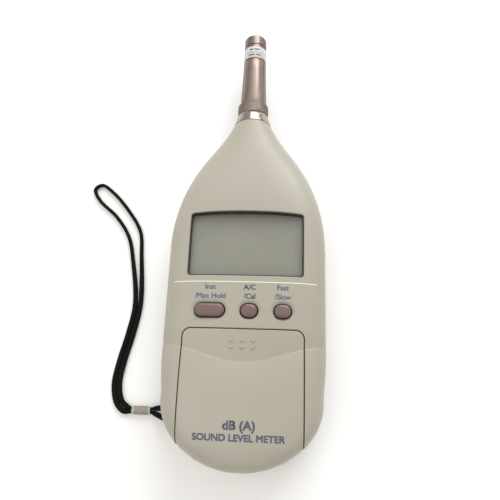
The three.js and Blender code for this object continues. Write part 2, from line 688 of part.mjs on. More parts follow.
function micGrid() {
  const shoulder = 1.5;
  const outside = [];
  for (let step = 0; step <= 4; step += 1) {
    const turn = (step / 4) * (Math.PI / 2);
    outside.push([STEM_RADIUS - shoulder * (1 - Math.cos(turn)),
      HALF_LENGTH - shoulder * (1 - Math.sin(turn))]);
  }
  const cap = turned([[5.7, GRID_LOW_Y], [STEM_RADIUS, GRID_LOW_Y], ...outside, [0, HALF_LENGTH],
    [0, HALF_LENGTH - 0.9], [4.8, HALF_LENGTH - 0.9], [5.7, HALF_LENGTH - 1.8],
    [5.7, GRID_LOW_Y]], 24);
  const slots = [0, 1, 2, 3, 4, 5].map((i) => solid(new THREE.BoxGeometry(3.2, 3, 1)
    .translate(3.1, HALF_LENGTH, 0)
    .rotateY((i * Math.PI) / 3)
    .translate(0, 0, AXIS_Z)));
  return cut(cap, ...slots);
}

const disc = (radius, low, high, sides = 20) => (
  turned([[0, low], [radius, low], [radius, high], [0, high]], sides));

const micBackplate = () => turned([[0, 108.6], [1.1, 108.6], [1.1, 112.4], [4.6, 112.4],
  [4.6, 114.2], [0, 114.2]]);

const micInsulator = () => turnedTube([[5.2, 109.6], [5.2, 111.6]], 1.5, 20);

function preampPlug() {
  const body = disc(4.2, 66, 72.4);
  const pins = [-1.8, 1.8].map((x) => box([x - 0.5, 72, AXIS_Z - 0.5], [x + 0.5, 75, AXIS_Z + 0.5]));
  return join(body, ...pins);
}

const signalLead = () => cord([[0, 65.6, AXIS_Z], [0, 57, AXIS_Z], [0, 50, AXIS_Z + 0.4],
  [0, 46.8, AXIS_Z + 2.4], [0, BOARD_HIGH_Y + 1.4, 22.2]], 1, 10, 8);

// ---------------------------------------------------------------- fasteners and fittings

function screw(x, y, head, headHeight, seat, shank, tip) {
  const geometry = new THREE.LatheGeometry([[0, seat - headHeight], [head, seat - headHeight],
    [head, seat], [shank, seat], [shank, tip - 0.6], [shank * 0.5, tip], [0, tip]]
    .map(([radius, height]) => new THREE.Vector2(radius, height)), 12);
  return solid(geometry.rotateX(Math.PI / 2).translate(x, y, 0));
}

const caseScrew = ({ x, y, seat, tip }) => cut(
  screw(x, y, 2.6, 2, seat - GAP, 1.25, tip),
  box([x - 1.8, y - 0.3, 0], [x + 1.8, y + 0.3, seat - 1.4]),
  box([x - 0.3, y - 1.8, 0], [x + 0.3, y + 1.8, seat - 1.4]),
);
const boardScrew = ({ x, y }) => screw(x, y, 2.1, 1.4, BOARD_BOTTOM - GAP, 1, 27.5);

const tripodInsert = () => cut(post(4.4, 0, TRIPOD_Y, 0.2, 9, 20), post(2.6, 0, TRIPOD_Y, 0, 7.8));

// ---------------------------------------------------------------- wrist strap

// The strap starts in the ferrule, goes round the bar, back through the ferrule, and along
// the surface in one long loop to the ferrule again. The strands stay apart all the way.
const STRAP_ROUTE = [
  [-54.1, -97.76, 1.7], [-51, -97.76, 1.7], [-49, -97.76, 1.7], [-46.5, -98.3, 3],
  [-40.6, -100.1, 7.6], [-37.2, -100.5, 8], [-34.3, -97.6, 8], [-37.2, -94.7, 8],
  [-40.6, -95, 7.6], [-46.5, -95.7, 3], [-49, -96.04, 1.7], [-51, -96.04, 1.7],
  [-57, -96.04, 1.7], [-59.3, -96.04, 1.7], [-62, -95.3, 1.4], [-65.5, -92.4, 1.2],
  [-67.6, -84, 1.2], [-66.3, -72, 1.2], [-63, -57, 1.2], [-60.6, -40, 1.2],
  [-62.8, -12, 1.2], [-65, 3, 1.2], [-73, 15.5, 1.2], [-84, 27.5, 1.2],
  [-91.5, 32.3, 1.2], [-95.4, 29.5, 1.2], [-92, 22.7, 1.2], [-80, 11.7, 1.2],
  [-71.5, -0.5, 1.2], [-67.5, -15, 1.2], [-63.6, -40, 1.2], [-65.9, -57, 1.2],
  [-69.2, -72, 1.2], [-70.6, -84, 1.2], [-68.3, -93.4, 1.2], [-64.3, -97.4, 1.4],
  [-59.3, -97.76, 1.7], [-57, -97.76, 1.7], [-54.7, -97.76, 1.7],
];
const STRAP_STEPS = 80;

function strapHalfWidth({ x, y }) {
  const lying = THREE.MathUtils.lerp(STRAP_NARROW, STRAP_WIDE, fade(-y, -10, 40));
  const free = fade(Math.hypot(x - FERRULE.x, y - FERRULE.y), 5.2, 9);
  return THREE.MathUtils.lerp(STRAP_SQUEEZED, lying, free);
}

// Flat oval strap along its route, level across its width.
function strapBody(sides) {
  const route = STRAP_ROUTE.map((point) => new THREE.Vector3(...point));
  const curve = new THREE.CatmullRomCurve3(route, false, 'centripetal');
  const rings = curve.getPoints(STRAP_STEPS).map((centre, step) => {
    const tangent = curve.getTangent(step / STRAP_STEPS);
    const across = new THREE.Vector3(0, 0, 1).cross(tangent).normalize();
    const upward = tangent.cross(across);
    return Array.from({ length: sides }, (_, side) => {
      const turn = (2 * Math.PI * side) / sides;
      return centre.clone()
        .addScaledVector(across, strapHalfWidth(centre) * Math.cos(turn))
        .addScaledVector(upward, STRAP_HALF_HEIGHT * Math.sin(turn));
    });
  });
  return loft(rings, route[0], route[route.length - 1]);
}

// Flat oval tube along X that grips both strands.
function gripTube(half, outerHeight, innerHeight) {
  const section = obround(GRIP_SPREAD + outerHeight, outerHeight, 0, 0);
  section.holes.push(obround(GRIP_SPREAD + innerHeight, innerHeight, 0, 0));
  const geometry = new THREE.ExtrudeGeometry(section, {
    depth: 2 * half, bevelEnabled: false, curveSegments: 8,
  });
  geometry.rotateX(Math.PI / 2).rotateZ(Math.PI / 2);
  return solid(geometry.translate(FERRULE.x - half, FERRULE.y, FERRULE.z));
}

// ---------------------------------------------------------------- assembly

const group = new THREE.Group();

function add(name, body, material) {
  const mesh = new THREE.Mesh(geometryOf(body), material.clone());
  mesh.name = name;
  group.add(mesh);
}

add('front_case', frontCase(), caseBeige);
add('rear_case', rearCase(), caseBeige);
add('battery_cover', batteryCover(), caseBeige);
add('rating_plate', slab(plateOutline(26), 0.1, 0.45), tinPlate);
add('tripod_insert', tripodInsert(), brass);
CASE_SCREWS.forEach((place, i) => add(`case_screw_${i + 1}`, caseScrew(place), tinPlate));

add('display_window', wideBox(31.6, -32.6, 6.2, 28.1, SKIRT_Z - GAP), glassClear);
add('lcd_panel', wideBox(LCD.half, LCD.low, LCD.high, LCD.bottom, LCD.top), lcdGrey);
add('lcd_frame', lcdFrame(), blackPlastic);
add('lcd_connector', lcdConnector(), rubberRed);

add('main_board', mainBoard(), boardGreen);
add('shield_can', shieldCan(), tinPlate);
add('processor_chip', wideBox(7, -12, 2, 18.8, BOARD_BOTTOM - GAP), blackPlastic);
BOARD_SCREWS.forEach((place, i) => add(`board_screw_${i + 1}`, boardScrew(place), tinPlate));

KEYS.forEach((key) => {
  add(`key_${key.name}`, keycap(key), keyMauve);
  add(`plunger_${key.name}`, post(1.6, key.x, KEY_Y, 25.6, KEY_BOTTOM - GAP), blackPlastic);
  add(`switch_${key.name}`, switchHousing(key), blackPlastic);
});

add('power_knob', powerKnob(), blackPlastic);
add('power_switch', powerSwitch(), blackPlastic);
add('output_jack', outputJack(), blackPlastic);

add('battery_tray', batteryTray(), caseBeige);
[0, 1, 2, 3].forEach((i) => add(`battery_${i + 1}`, cell(i), cellJacket));
add('contact_low_left', contactPlate(0, 1, LOW_PLATE_Y), tinPlate);
add('contact_low_right', contactPlate(2, 3, LOW_PLATE_Y), tinPlate);
add('contact_high_left', contactPlate(0, 0, HIGH_PLATE_Y), tinPlate);
add('contact_high_middle', contactPlate(1, 2, HIGH_PLATE_Y), tinPlate);
add('contact_high_right', contactPlate(3, 3, HIGH_PLATE_Y), tinPlate);
add('battery_lead_red', batteryLead(cellX(0)), rubberRed);
add('battery_lead_black', batteryLead(cellX(3)), blackPlastic);

add('neck_socket', neckSocket(), brightSteel);
add('neck_nut', neckNut(), brass);
add('lock_ring', lockRing(), ringGrey);
add('preamp_tube', preampTube(), steel);
add('preamp_board', wideBox(4.4, 77, 102, AXIS_Z - 0.5, AXIS_Z + 0.5), boardGreen);
add('preamp_plug', preampPlug(), blackPlastic);
add('mic_cartridge', micCartridge(), steel);
add('mic_label', micLabel(), labelWhite);
add('mic_insulator', micInsulator(), labelWhite);
add('mic_backplate', micBackplate(), brass);
add('mic_diaphragm', disc(5.2, 114.5, 114.8), brightSteel);
add('mic_grid', micGrid(), steel);
add('signal_lead', signalLead(), blackPlastic);

add('strap_bar', post(BAR_RADIUS, BAR_X, BAR_Y, 3.5, 11.9, 12), tinPlate);
add('strap_cord', strapBody(8), cordBlack);
add('strap_sleeve', gripTube(SLEEVE_HALF, 2.7, 2.5), sleeveGreen);
add('strap_ferrule', gripTube(FERRULE.half, 3.2, 2.8), brightSteel);

export default group;
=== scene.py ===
"""Looks of a handheld sound level meter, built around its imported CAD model.

Lengths are in millimetres, in the model's own frame, and become metres when a mesh is made:
+X right, +Y towards the microphone, +Z out of the front, origin under the middle of the back.
"""

import json
import math

import bmesh
import bpy
import numpy as np
from mathutils import Matrix, Vector


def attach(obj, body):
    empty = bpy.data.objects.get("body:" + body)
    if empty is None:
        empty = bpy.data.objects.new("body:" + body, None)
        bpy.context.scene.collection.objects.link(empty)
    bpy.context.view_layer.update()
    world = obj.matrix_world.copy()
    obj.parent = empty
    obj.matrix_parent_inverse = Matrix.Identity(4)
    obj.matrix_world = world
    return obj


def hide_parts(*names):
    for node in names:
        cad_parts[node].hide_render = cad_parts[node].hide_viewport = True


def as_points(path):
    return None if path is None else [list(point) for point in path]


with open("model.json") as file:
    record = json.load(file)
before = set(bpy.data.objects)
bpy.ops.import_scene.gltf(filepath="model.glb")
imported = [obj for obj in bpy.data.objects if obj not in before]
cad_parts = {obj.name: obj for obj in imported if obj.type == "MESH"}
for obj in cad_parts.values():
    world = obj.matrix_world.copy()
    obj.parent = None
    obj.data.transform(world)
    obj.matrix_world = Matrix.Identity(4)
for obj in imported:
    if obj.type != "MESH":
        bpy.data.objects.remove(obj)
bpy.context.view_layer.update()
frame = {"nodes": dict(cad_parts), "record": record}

# ------------------------------------------------------------------ driving dimensions

MM = 0.001
HALF_LENGTH = 122.4

# Case outline, seen from the front.
HALF_WIDTH = 41
END_HALF_WIDTH = 39.7
END_Y = -90.4
END_LENGTH = HALF_LENGTH + END_Y
SIDE_Y = -70
SHOULDER_Y = -14
SHOULDER_RADIUS = 94.5
FLARE_Y = 42
NECK_Y = 61.4
NECK_RADIUS = 10.5
NECK_SLOPE = -0.5

# Case section, seen along the axis.
AXIS_Z = 18
COVER_RISE = 17.2
PANEL_RISE = 15.6
BACK_DROP = 18.3
FRONT_SHARPNESS = 3.6
BACK_SHARPNESS = 5
END_SHARPNESS = 5
ROUND_FROM_Y = -5
ROUND_TO_Y = 55
PANEL_TOP_Y = 4
BACK_TOP_Y = -15
WALL = 2.2
PARTING_GAP = 0.15
PARTING_ROUND = 0.4

# Thumb scoop.
SCOOP_TOP_Y = -57
SCOOP_DEPTH = 0.9
CREASE_Y = -64.4
CREASE_HALF_SPAN = 41.5
CREASE_DIP = 8.2
LIP_SPAN = (0.97, 1.06)  # where the scoop steps up to the cover, as a share of its run
LIP_DROP = 2.15
COVER_FLAT_Y = -88

# Battery cover.
COVER_HALF_WIDTH = 29.8
COVER_TOP_Y = -56.9
COVER_CORNER = 4.2
COVER_GAP = 0.45
COVER_WALL = 2
COVER_ROUND = 0.45
GRIP_DOTS_X = (-5.3, 0, 5.3)
GRIP_DOTS_Y = (-62.6, -65.7)
GRIP_DOT_RADIUS = 1.0

# Display window.
WINDOW_HALF_WIDTH = 28.8
WINDOW_BOTTOM_Y = -29.8
WINDOW_CORNER_Y = 2.6
WINDOW_ARCH = 1.1
WINDOW_CORNER = 1.6
WINDOW_ROUND = 0.5
SKIRT_Z = 29.9
SKIRT_WIDTH = 1.6

# Keys.
KEY_Y = -48
KEY_HEIGHT = 6.6
KEY_CLEARANCE = 0.55
KEY_TOP = 35.0
KEY_BOTTOM = 28.3
KEY_DOME = 1.5
KEYS = (("hold", -16.8, 14.6), ("weighting", 2.7, 8.2), ("response", 19.2, 8.2))
DISH_WIDTH = 1.6
DISH_DEPTH = 0.55

# Openings in the sides and the neck; the boxes are (low corner, high corner).
KNOB_RECESS = ((39.3, -21.1, 16), (60, -9.9, 23.2))
KNOB_SLOT = ((35, -19.2, 16), (60, -11.8, 21.1))
JACK_Y = -17
JACK_BORE = 3.3
NECK_BORE = 6.7

# Screws and inserts in the back; a screw is (x, y, height of its seat).
CASE_SCREWS = ((-18, 22, 6.9), (18, 22, 6.9), (-22, -88, 3.4), (22, -88, 3.4))
TRIPOD_Y = -24

# Microphone stem.
CONE_LOW_Y = 61.7
CONE_HIGH_Y = 67.8
RING_LOW_Y = 68.1
RING_HIGH_Y = 75.1
TUBE_LOW_Y = 75.4
TUBE_HIGH_Y = 105.2
CARTRIDGE_LOW_Y = 105.5
CARTRIDGE_HIGH_Y = 115.5
LABEL_LOW_Y = 105.9
LABEL_HIGH_Y = 113.7
GRID_LOW_Y = 115.9
STEM_RADIUS = 6.6

# Strap.
STRAP_HALF_HEIGHT = 1.1
STRAP_WIDE = 1.4  # half widths of the flat strap: along the doubled run,
STRAP_NARROW = 1.0  # in the open loop,
STRAP_SQUEEZED = 0.8  # and inside the ferrule
STRAP_ROUTE = (
    (-54.1, -97.76, 1.7), (-51, -97.76, 1.7), (-49, -97.76, 1.7), (-46.5, -98.3, 3),
    (-40.6, -100.1, 7.6), (-37.2, -100.5, 8), (-34.3, -97.6, 8), (-37.2, -94.7, 8),
    (-40.6, -95, 7.6), (-46.5, -95.7, 3), (-49, -96.04, 1.7), (-51, -96.04, 1.7),
    (-57, -96.04, 1.7), (-59.3, -96.04, 1.7), (-62, -95.3, 1.4), (-65.5, -92.4, 1.2),
    (-67.6, -84, 1.2), (-66.3, -72, 1.2), (-63, -57, 1.2), (-60.6, -40, 1.2),
    (-62.8, -12, 1.2), (-65, 3, 1.2), (-73, 15.5, 1.2), (-84, 27.5, 1.2),
    (-91.5, 32.3, 1.2), (-95.4, 29.5, 1.2), (-92, 22.7, 1.2), (-80, 11.7, 1.2),
    (-71.5, -0.5, 1.2), (-67.5, -15, 1.2), (-63.6, -40, 1.2), (-65.9, -57, 1.2),
    (-69.2, -72, 1.2), (-70.6, -84, 1.2), (-68.3, -93.4, 1.2), (-64.3, -97.4, 1.4),
    (-59.3, -97.76, 1.7), (-57, -97.76, 1.7), (-54.7, -97.76, 1.7),
)
FERRULE = (-54.35, -96.9, 1.7)
FERRULE_HALF = 3.75
FERRULE_HEIGHTS = (3.2, 2.8)  # outside and inside
SLEEVE_HALF = 4.9
SLEEVE_HEIGHTS = (2.74, 2.5)
GRIP_SPREAD = 1.1  # how much wider the ferrule is than it is high
BAR_X = -37.2
BAR_Y = -97.6

# ------------------------------------------------------------------ shape of the case


def smoothstep(value, low, high):
    t = np.clip((value - low) / (high - low), 0, 1)
    return t * t * (3 - 2 * t)


def hermite(y, start, stop):
    """Cubic between two stations; each end is (y, value, slope)."""
    (y0, value0, slope0), (y1, value1, slope1) = start, stop
    span = y1 - y0
    t = (y - y0) / span
    rest = 1 - t
    return (value0 * (1 + 2 * t) * rest**2 + value1 * (3 - 2 * t) * t**2
            + slope0 * span * t * rest**2 - slope1 * span * t**2 * rest)


def end_share(station):
    """How far a station is round the bottom end: 0 at its start, 1 at the tip."""
    return np.clip((END_Y - station) / END_LENGTH, 0, 1)


def station_y(station, inset):
    return station + inset * end_share(station)


def half_width(station, inset=0):
    side = END_HALF_WIDTH + (HALF_WIDTH - END_HALF_WIDTH) * smoothstep(station, END_Y, SIDE_Y)
    low = (side - inset) * np.sqrt(1 - end_share(station) ** 2)

    def shoulder(y):
        return HALF_WIDTH - SHOULDER_RADIUS + np.sqrt(SHOULDER_RADIUS**2 - (y - SHOULDER_Y) ** 2)

    run = FLARE_Y - SHOULDER_Y
    slope = -run / math.sqrt(SHOULDER_RADIUS**2 - run**2)
    flare = hermite(station, (FLARE_Y, shoulder(FLARE_Y), slope), (NECK_Y, NECK_RADIUS, NECK_SLOPE))
    high = np.where(station < FLARE_Y, shoulder(np.clip(station, SHOULDER_Y, FLARE_Y)), flare)
    return np.where(station < SHOULDER_Y, low, high - inset)


def end_factor(station):
    return (1 - end_share(station) ** END_SHARPNESS) ** (1 / END_SHARPNESS)


def scoop_rise(station):
    """The scoop falls away towards the crease, and a small lip steps up from it to the cover."""
    ramp = (SCOOP_TOP_Y - station) / (SCOOP_TOP_Y - CREASE_Y)
    scoop = PANEL_RISE - SCOOP_DEPTH * np.clip(ramp, 0, 1) ** 1.5
    past = np.clip((CREASE_Y - station) / (CREASE_Y - COVER_FLAT_Y), 0, 1)
    cover = COVER_RISE - LIP_DROP * (1 - past) ** 2
    return scoop + (cover - scoop) * smoothstep(ramp, *LIP_SPAN)


def front_rise(station, inset=0):
    low = (scoop_rise(station) - inset) * end_factor(station)
    neck = hermite(station, (PANEL_TOP_Y, PANEL_RISE, 0), (NECK_Y, NECK_RADIUS, -0.12)) - inset
    return np.where(station < PANEL_TOP_Y, low, neck)


def back_drop(station, inset=0):
    low = (BACK_DROP - inset) * end_factor(station)
    neck = hermite(station, (BACK_TOP_Y, BACK_DROP, 0), (NECK_Y, NECK_RADIUS, -0.2)) - inset
    return np.where(station < BACK_TOP_Y, low, neck)


def section_power(station, sharpness):
    return sharpness + (2 - sharpness) * smoothstep(station, ROUND_FROM_Y, ROUND_TO_Y)


def crease_dip(x):
    reach = np.clip(np.abs(x) / CREASE_HALF_SPAN, 0, 1)
    return CREASE_DIP * (1 + np.cos(math.pi * reach)) / 2


def crease_shift(station, x):
    """The crease dips towards the bottom end in the middle, and carries the stations with it."""
    above = np.clip((SCOOP_TOP_Y - station) / (SCOOP_TOP_Y - CREASE_Y), 0, 1)
    below = np.clip((station - END_Y) / (CREASE_Y - END_Y), 0, 1)
    return -crease_dip(x) * np.minimum(above, below)


def station_at(x, y):
    """The station whose point above x lies at y, which is crease_shift undone."""
    dip = crease_dip(x)
    upper = SCOOP_TOP_Y - (SCOOP_TOP_Y - y) / (1 + dip / (SCOOP_TOP_Y - CREASE_Y))
    lower = END_Y + (y - END_Y) / (1 - dip / (CREASE_Y - END_Y))
    bent = np.where(y > CREASE_Y - dip, upper, lower)
    return np.where((y < SCOOP_TOP_Y) & (y > END_Y), bent, y)


def front_z(x, y):
    """Height of the front face above a point of the plan."""
    station = station_at(x, y)
    power = section_power(station, FRONT_SHARPNESS)
    side = np.clip(np.abs(x) / np.maximum(half_width(station), 1e-6), 0, 1)
    return AXIS_Z + front_rise(station) * (1 - side**power) ** (1 / power)


# ------------------------------------------------------------------ mesh helpers

FRONT = 1
BACK = -1
END_RINGS = (0.97, 0.9, 0.8, 0.7, 0.6, 0.5, 0.4, 0.3, 0.2, 0.1)  # share of the full rise


def placed(name, data):
    """New object in the scene that shows the data: a mesh, a font curve, a camera or a light."""
    thing = bpy.data.objects.new(name, data)
    bpy.context.scene.collection.objects.link(thing)
    return thing


def new_object(name, points, faces):
    mesh = bpy.data.meshes.new(name)
    mesh.from_pydata([tuple(MM * float(c) for c in p) for p in points], [], faces)
    mesh.validate()
    return placed(name, mesh)


def right_way_out(thing):
    work = bmesh.new()
    work.from_mesh(thing.data)
    bmesh.ops.remove_doubles(work, verts=work.verts, dist=1e-7)
    bmesh.ops.recalc_face_normals(work, faces=work.faces)
    work.to_mesh(thing.data)
    work.free()
    return thing


def loft(name, rings, caps=True):
    """Skin through closed rings of equal point count, with a fan at each end."""
    count = len(rings[0])
    points = [p for ring in rings for p in ring]
    faces = []
    for r in range(len(rings) - 1):
        for i in range(count):
            j = (i + 1) % count
            a, b = r * count, (r + 1) * count
            faces.append((a + i, a + j, b + j, b + i))
    if caps:
        for first, ring in ((0, rings[0]), ((len(rings) - 1) * count, rings[-1])):
            points.append(np.mean(np.array(ring, float), axis=0))
            middle = len(points) - 1
            faces += [(first + i, first + (i + 1) % count, middle) for i in range(count)]
    return right_way_out(new_object(name, points, faces))


def loop_skin(name, rings):
    """Closed skin through rings that come back to the first one."""
    return loft(name, list(rings) + [rings[0]], caps=False)


def prism(name, levels):
    """Solid between outlines at several heights; each level is (outline, height or heights)."""
    rings = [np.column_stack([outline, np.broadcast_to(z, len(outline))]) for outline, z in levels]
    return loft(name, rings)


def box(name, low, high):
    corners = [(x, y, z) for z in (low[2], high[2])
               for x, y in ((low[0], low[1]), (high[0], low[1]), (high[0], high[1]), (low[0], high[1]))]
    faces = [(3, 2, 1, 0), (4, 5, 6, 7), (0, 1, 5, 4), (1, 2, 6, 5), (2, 3, 7, 6), (3, 0, 4, 7)]
    return new_object(name, corners, faces)


def post(name, radius, x, y, low, high, sides=48):
    turn = np.linspace(0, 2 * math.pi, sides, endpoint=False)
    outline = np.column_stack([x + radius * np.cos(turn), y + radius * np.sin(turn)])
    return prism(name, [(outline, low), (outline, high)])


def turned(name, profile, sides=96, swell=None):
    """Profile of (radius, y) points turned about the microphone's axis; it may be closed."""
    turn = np.linspace(0, 2 * math.pi, sides, endpoint=False)
    rings = []
    for radius, y in profile:
        r = np.full(sides, float(radius))
        if swell:
            r = r + swell(turn, radius, y)
        rings.append(np.column_stack([r * np.cos(turn), np.full(sides, y), AXIS_Z + r * np.sin(turn)]))
    if profile[0] == profile[-1]:
        return loop_skin(name, rings[:-1])
    return loft(name, rings)


def combine(base, operation, *tools):
    """Joins ('UNION'), cuts ('DIFFERENCE') or intersects ('INTERSECT') solids, and eats the tools."""
    for tool in tools:
        step = base.modifiers.new("step", "BOOLEAN")
        step.operation = operation
        step.solver = "MANIFOLD"
        step.object = tool
    apply_modifiers(base)
    for tool in tools:
        bpy.data.objects.remove(tool)
    return base


def apply_modifiers(thing):
    bpy.context.view_layer.update()
    evaluated = thing.evaluated_get(bpy.context.evaluated_depsgraph_get())
    mesh = bpy.data.meshes.new_from_object(evaluated)
    thing.modifiers.clear()
    thing.data = mesh
    return thing


def smooth(thing, angle=35, weighted=True):
    thing.data.shade_smooth()
    thing.data.set_sharp_from_angle(angle=math.radians(angle))
    if weighted:
        even = thing.modifiers.new("even", "WEIGHTED_NORMAL")
        even.keep_sharp = True
        apply_modifiers(thing)
    return thing


def copy_of(thing):
    twin = thing.copy()
    twin.data = thing.data.copy()
    bpy.context.scene.collection.objects.link(twin)
    return twin


def piece(thing, body, slot, look, *nodes):
    """Gives a finished mesh its material, and hands it to the body that it moves with."""
    thing.data.materials.clear()
    thing.data.materials.append(look)
    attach(thing, body)
    if nodes:
        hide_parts(*nodes)
    return thing


# ------------------------------------------------------------------ outlines


def arc(x, y, radius, start, stop, steps):
    turn = np.radians(np.linspace(start, stop, steps + 1))
    return np.column_stack([x + radius * np.cos(turn), y + radius * np.sin(turn)])


def line(start, stop, steps):
    """Points from start up to stop, the last one left out."""
    return np.linspace(start, stop, steps, endpoint=False)


def obround(length, height, x, y, steps=16):
    radius = height / 2
    reach = length / 2 - radius
    right = arc(x + reach, y, radius, -90, 90, steps)
    left = arc(x - reach, y, radius, 90, 270, steps)
    return np.vstack([right, line(right[-1], left[0], 8)[1:], left, line(left[-1], right[0], 8)[1:]])


def window_outline(grow):
    half = WINDOW_HALF_WIDTH + grow
    low = WINDOW_BOTTOM_Y - grow
    high = WINDOW_CORNER_Y + grow
    r = WINDOW_CORNER
    top_x = np.linspace(half - r, r - half, 41)
    top = np.column_stack([top_x, high + WINDOW_ARCH * (1 - (top_x / (half - r)) ** 2)])
    return np.vstack([
        arc(r - half, low + r, r, 180, 270, 6),
        line((r - half, low), (half - r, low), 30)[1:],
        arc(half - r, low + r, r, 270, 360, 6),
        line((half, low + r), (half, high - r), 16)[1:],
        arc(half - r, high - r, r, 0, 80, 6),
        top[1:-1],
        arc(r - half, high - r, r, 100, 180, 6),
        line((-half, high - r), (-half, low + r), 16)[1:],
    ])


def cover_outline(grow):
    half = COVER_HALF_WIDTH + grow
    top = COVER_TOP_Y + grow
    r = COVER_CORNER + grow
    low = -HALF_LENGTH - 5
    return np.vstack([
        line((-half, low), (half, low), 20),
        line((half, low), (half, top - r), 60),
        arc(half - r, top - r, r, 0, 90, 14),
        line((half - r, top), (r - half, top), 40)[1:],
        arc(r - half, top - r, r, 90, 180, 14),
        line((-half, top - r), (-half, low), 60)[1:],
    ])


# Rounded edge at the front face: (share of the radius sideways, share of it above the edge).
MOUTH = ((0, -1), (0.18, -0.43), (0.58, -0.09), (0.78, 0), (2.6, 1))


OUTWARDS = 1
INWARDS = -1
ABOVE_ALL = 50  # a height clear of the front face


def edged(name, outline, bottom, radius, way, draft=0):
    """Prism up through the front face, rounded there outwards for a hole or inwards for a block."""
    surface = front_z(*outline(draft).T)
    levels = [(outline(0), bottom)]
    for out, up in MOUTH:
        levels.append((outline(draft + way * out * radius), surface + up * radius))
    levels.append((levels[-1][0], ABOVE_ALL))
    return prism(name, levels)


# ------------------------------------------------------------------ case shells


def case_stations(step):
    """Stations from the bottom tip to the neck, closer together where the shape turns."""
    tip = [END_Y - END_LENGTH * (1 - share**END_SHARPNESS) ** (1 / END_SHARPNESS)
           for share in reversed(END_RINGS)]
    low = np.arange(tip[-1] + step, SCOOP_TOP_Y - 10, step)
    lip = np.linspace(CREASE_Y - 0.6, CREASE_Y + 0.4, int(20 / step) + 1)
    scoop = np.unique(np.concatenate([np.arange(SCOOP_TOP_Y - 9.6, SCOOP_TOP_Y + 0.1, 0.3 * step), lip]))
    high = np.linspace(SCOOP_TOP_Y + step, NECK_Y, int((NECK_Y - SCOOP_TOP_Y) / step))
    return list(tip) + list(low) + list(scoop) + list(high)


def case_half(name, side, inset=0, step=2.0, segments=96, edge_round=0.0, edge=PARTING_GAP):
    """Closed front or back half of the case, with its parting edge rounded."""
    turn = np.linspace(0, math.pi, segments + 1)
    rings = []
    for station in case_stations(step):
        sharpness = FRONT_SHARPNESS if side == FRONT else BACK_SHARPNESS
        reach = front_rise if side == FRONT else back_drop
        power = 2 / section_power(station, sharpness)
        cos, sin = np.cos(turn), np.sin(turn)
        x = half_width(station, inset) * np.sign(cos) * np.abs(cos) ** power
        rise = np.maximum(reach(station, inset) * np.abs(sin) ** power, edge + edge_round)
        y = np.full(len(turn), station_y(station, inset))
        if side == FRONT:
            y = y + crease_shift(station, x)
        ring = np.column_stack([x, y, AXIS_Z + side * rise])
        ring[:, 2] = np.maximum(ring[:, 2], inset)
        lower = []
        for inwards, up in ((1, 0), (0.3, 0.3)):
            more = inset + inwards * edge_round
            lower.append((half_width(station, more), station_y(station, more),
                          AXIS_Z + side * (edge + up * edge_round)))
        left = [(-px, py, pz) for px, py, pz in reversed(lower)]
        rings.append(np.vstack([lower, ring, left]))
    return loft(name, rings)


def front_shell():
    shell = case_half("front_shell", FRONT, edge_round=PARTING_ROUND)
    inner = case_half("inner", FRONT, inset=WALL, step=4, segments=48, edge=-1)
    skirt_top = front_z(*window_outline(SKIRT_WIDTH).T) - 0.6
    skirt = prism("skirt", [(window_outline(SKIRT_WIDTH + 0.6), SKIRT_Z),
                            (window_outline(SKIRT_WIDTH + 0.6), skirt_top)])
    combine(shell, "DIFFERENCE", inner)
    combine(shell, "UNION", skirt)
    cutters = [
        edged("window", window_outline, SKIRT_Z - 2, WINDOW_ROUND, OUTWARDS, draft=0.6),
        edged("cover", lambda grow: cover_outline(grow + COVER_GAP / 2), 0, COVER_ROUND, OUTWARDS),
        box("knob_recess", *KNOB_RECESS),
        box("knob_slot", *KNOB_SLOT),
        jack_bore(),
        neck_bore(),
    ]
    for _, x, length in KEYS:
        cutters.append(key_hole(x, length))
    combine(shell, "DIFFERENCE", *cutters)
    return smooth(shell)


# Dish round a key: (share of its width outwards, share of its depth below the front face).
KEY_DISH = ((0, 1.6), (0.04, 1.12), (0.12, 0.95), (0.7, 0.22), (0.9, 0.04), (1.2, -0.06), (1.8, -1))


def key_hole(x, length):
    """Cutter for a key's hole and the shallow dish that surrounds it."""
    def outline(grow):
        reach = 2 * (KEY_CLEARANCE + grow)
        return obround(length + reach, KEY_HEIGHT + reach, x, KEY_Y)

    levels = [(outline(0), 25)]
    for out, down in KEY_DISH:
        ring = outline(out * DISH_WIDTH)
        levels.append((ring, front_z(*ring.T) - down * DISH_DEPTH))
    levels.append((levels[-1][0], ABOVE_ALL))
    return prism("key_hole", levels)


def window_gasket():
    """Dark lining of the window's opening, which stops just short of the front face."""
    rings = []
    for grow, down in ((0.9, 3.2), (-0.1, 3.2), (0.15, 0.6), (0.9, 0.6)):
        outline = window_outline(grow)
        rings.append(np.column_stack([outline, np.maximum(front_z(*outline.T) - down, SKIRT_Z - 0.1)]))
    return smooth(loop_skin("window_gasket", rings))


def neck_bore():
    return turned("neck_bore", [(NECK_BORE, NECK_Y - 12), (NECK_BORE, NECK_Y + 2)])


def jack_bore():
    turn = np.linspace(0, 2 * math.pi, 48, endpoint=False)
    y = JACK_Y + JACK_BORE * np.cos(turn)
    z = AXIS_Z + JACK_BORE * np.sin(turn)
    return loft("jack_bore", [np.column_stack([np.full(48, x), y, z]) for x in (-50, -35)])


def dome(x, y, radius, height):
    """Low round bump on the front face."""
    turn = np.linspace(0, 2 * math.pi, 24, endpoint=False)
    levels = []
    for share, up in ((1, -0.6), (1, 0), (0.92, 0.45), (0.7, 0.8), (0.4, 0.96), (0.12, 1)):
        outline = np.column_stack([x + radius * share * np.cos(turn), y + radius * share * np.sin(turn)])
        levels.append((outline, front_z(*outline.T) + height * up))
    return prism("dome", levels)


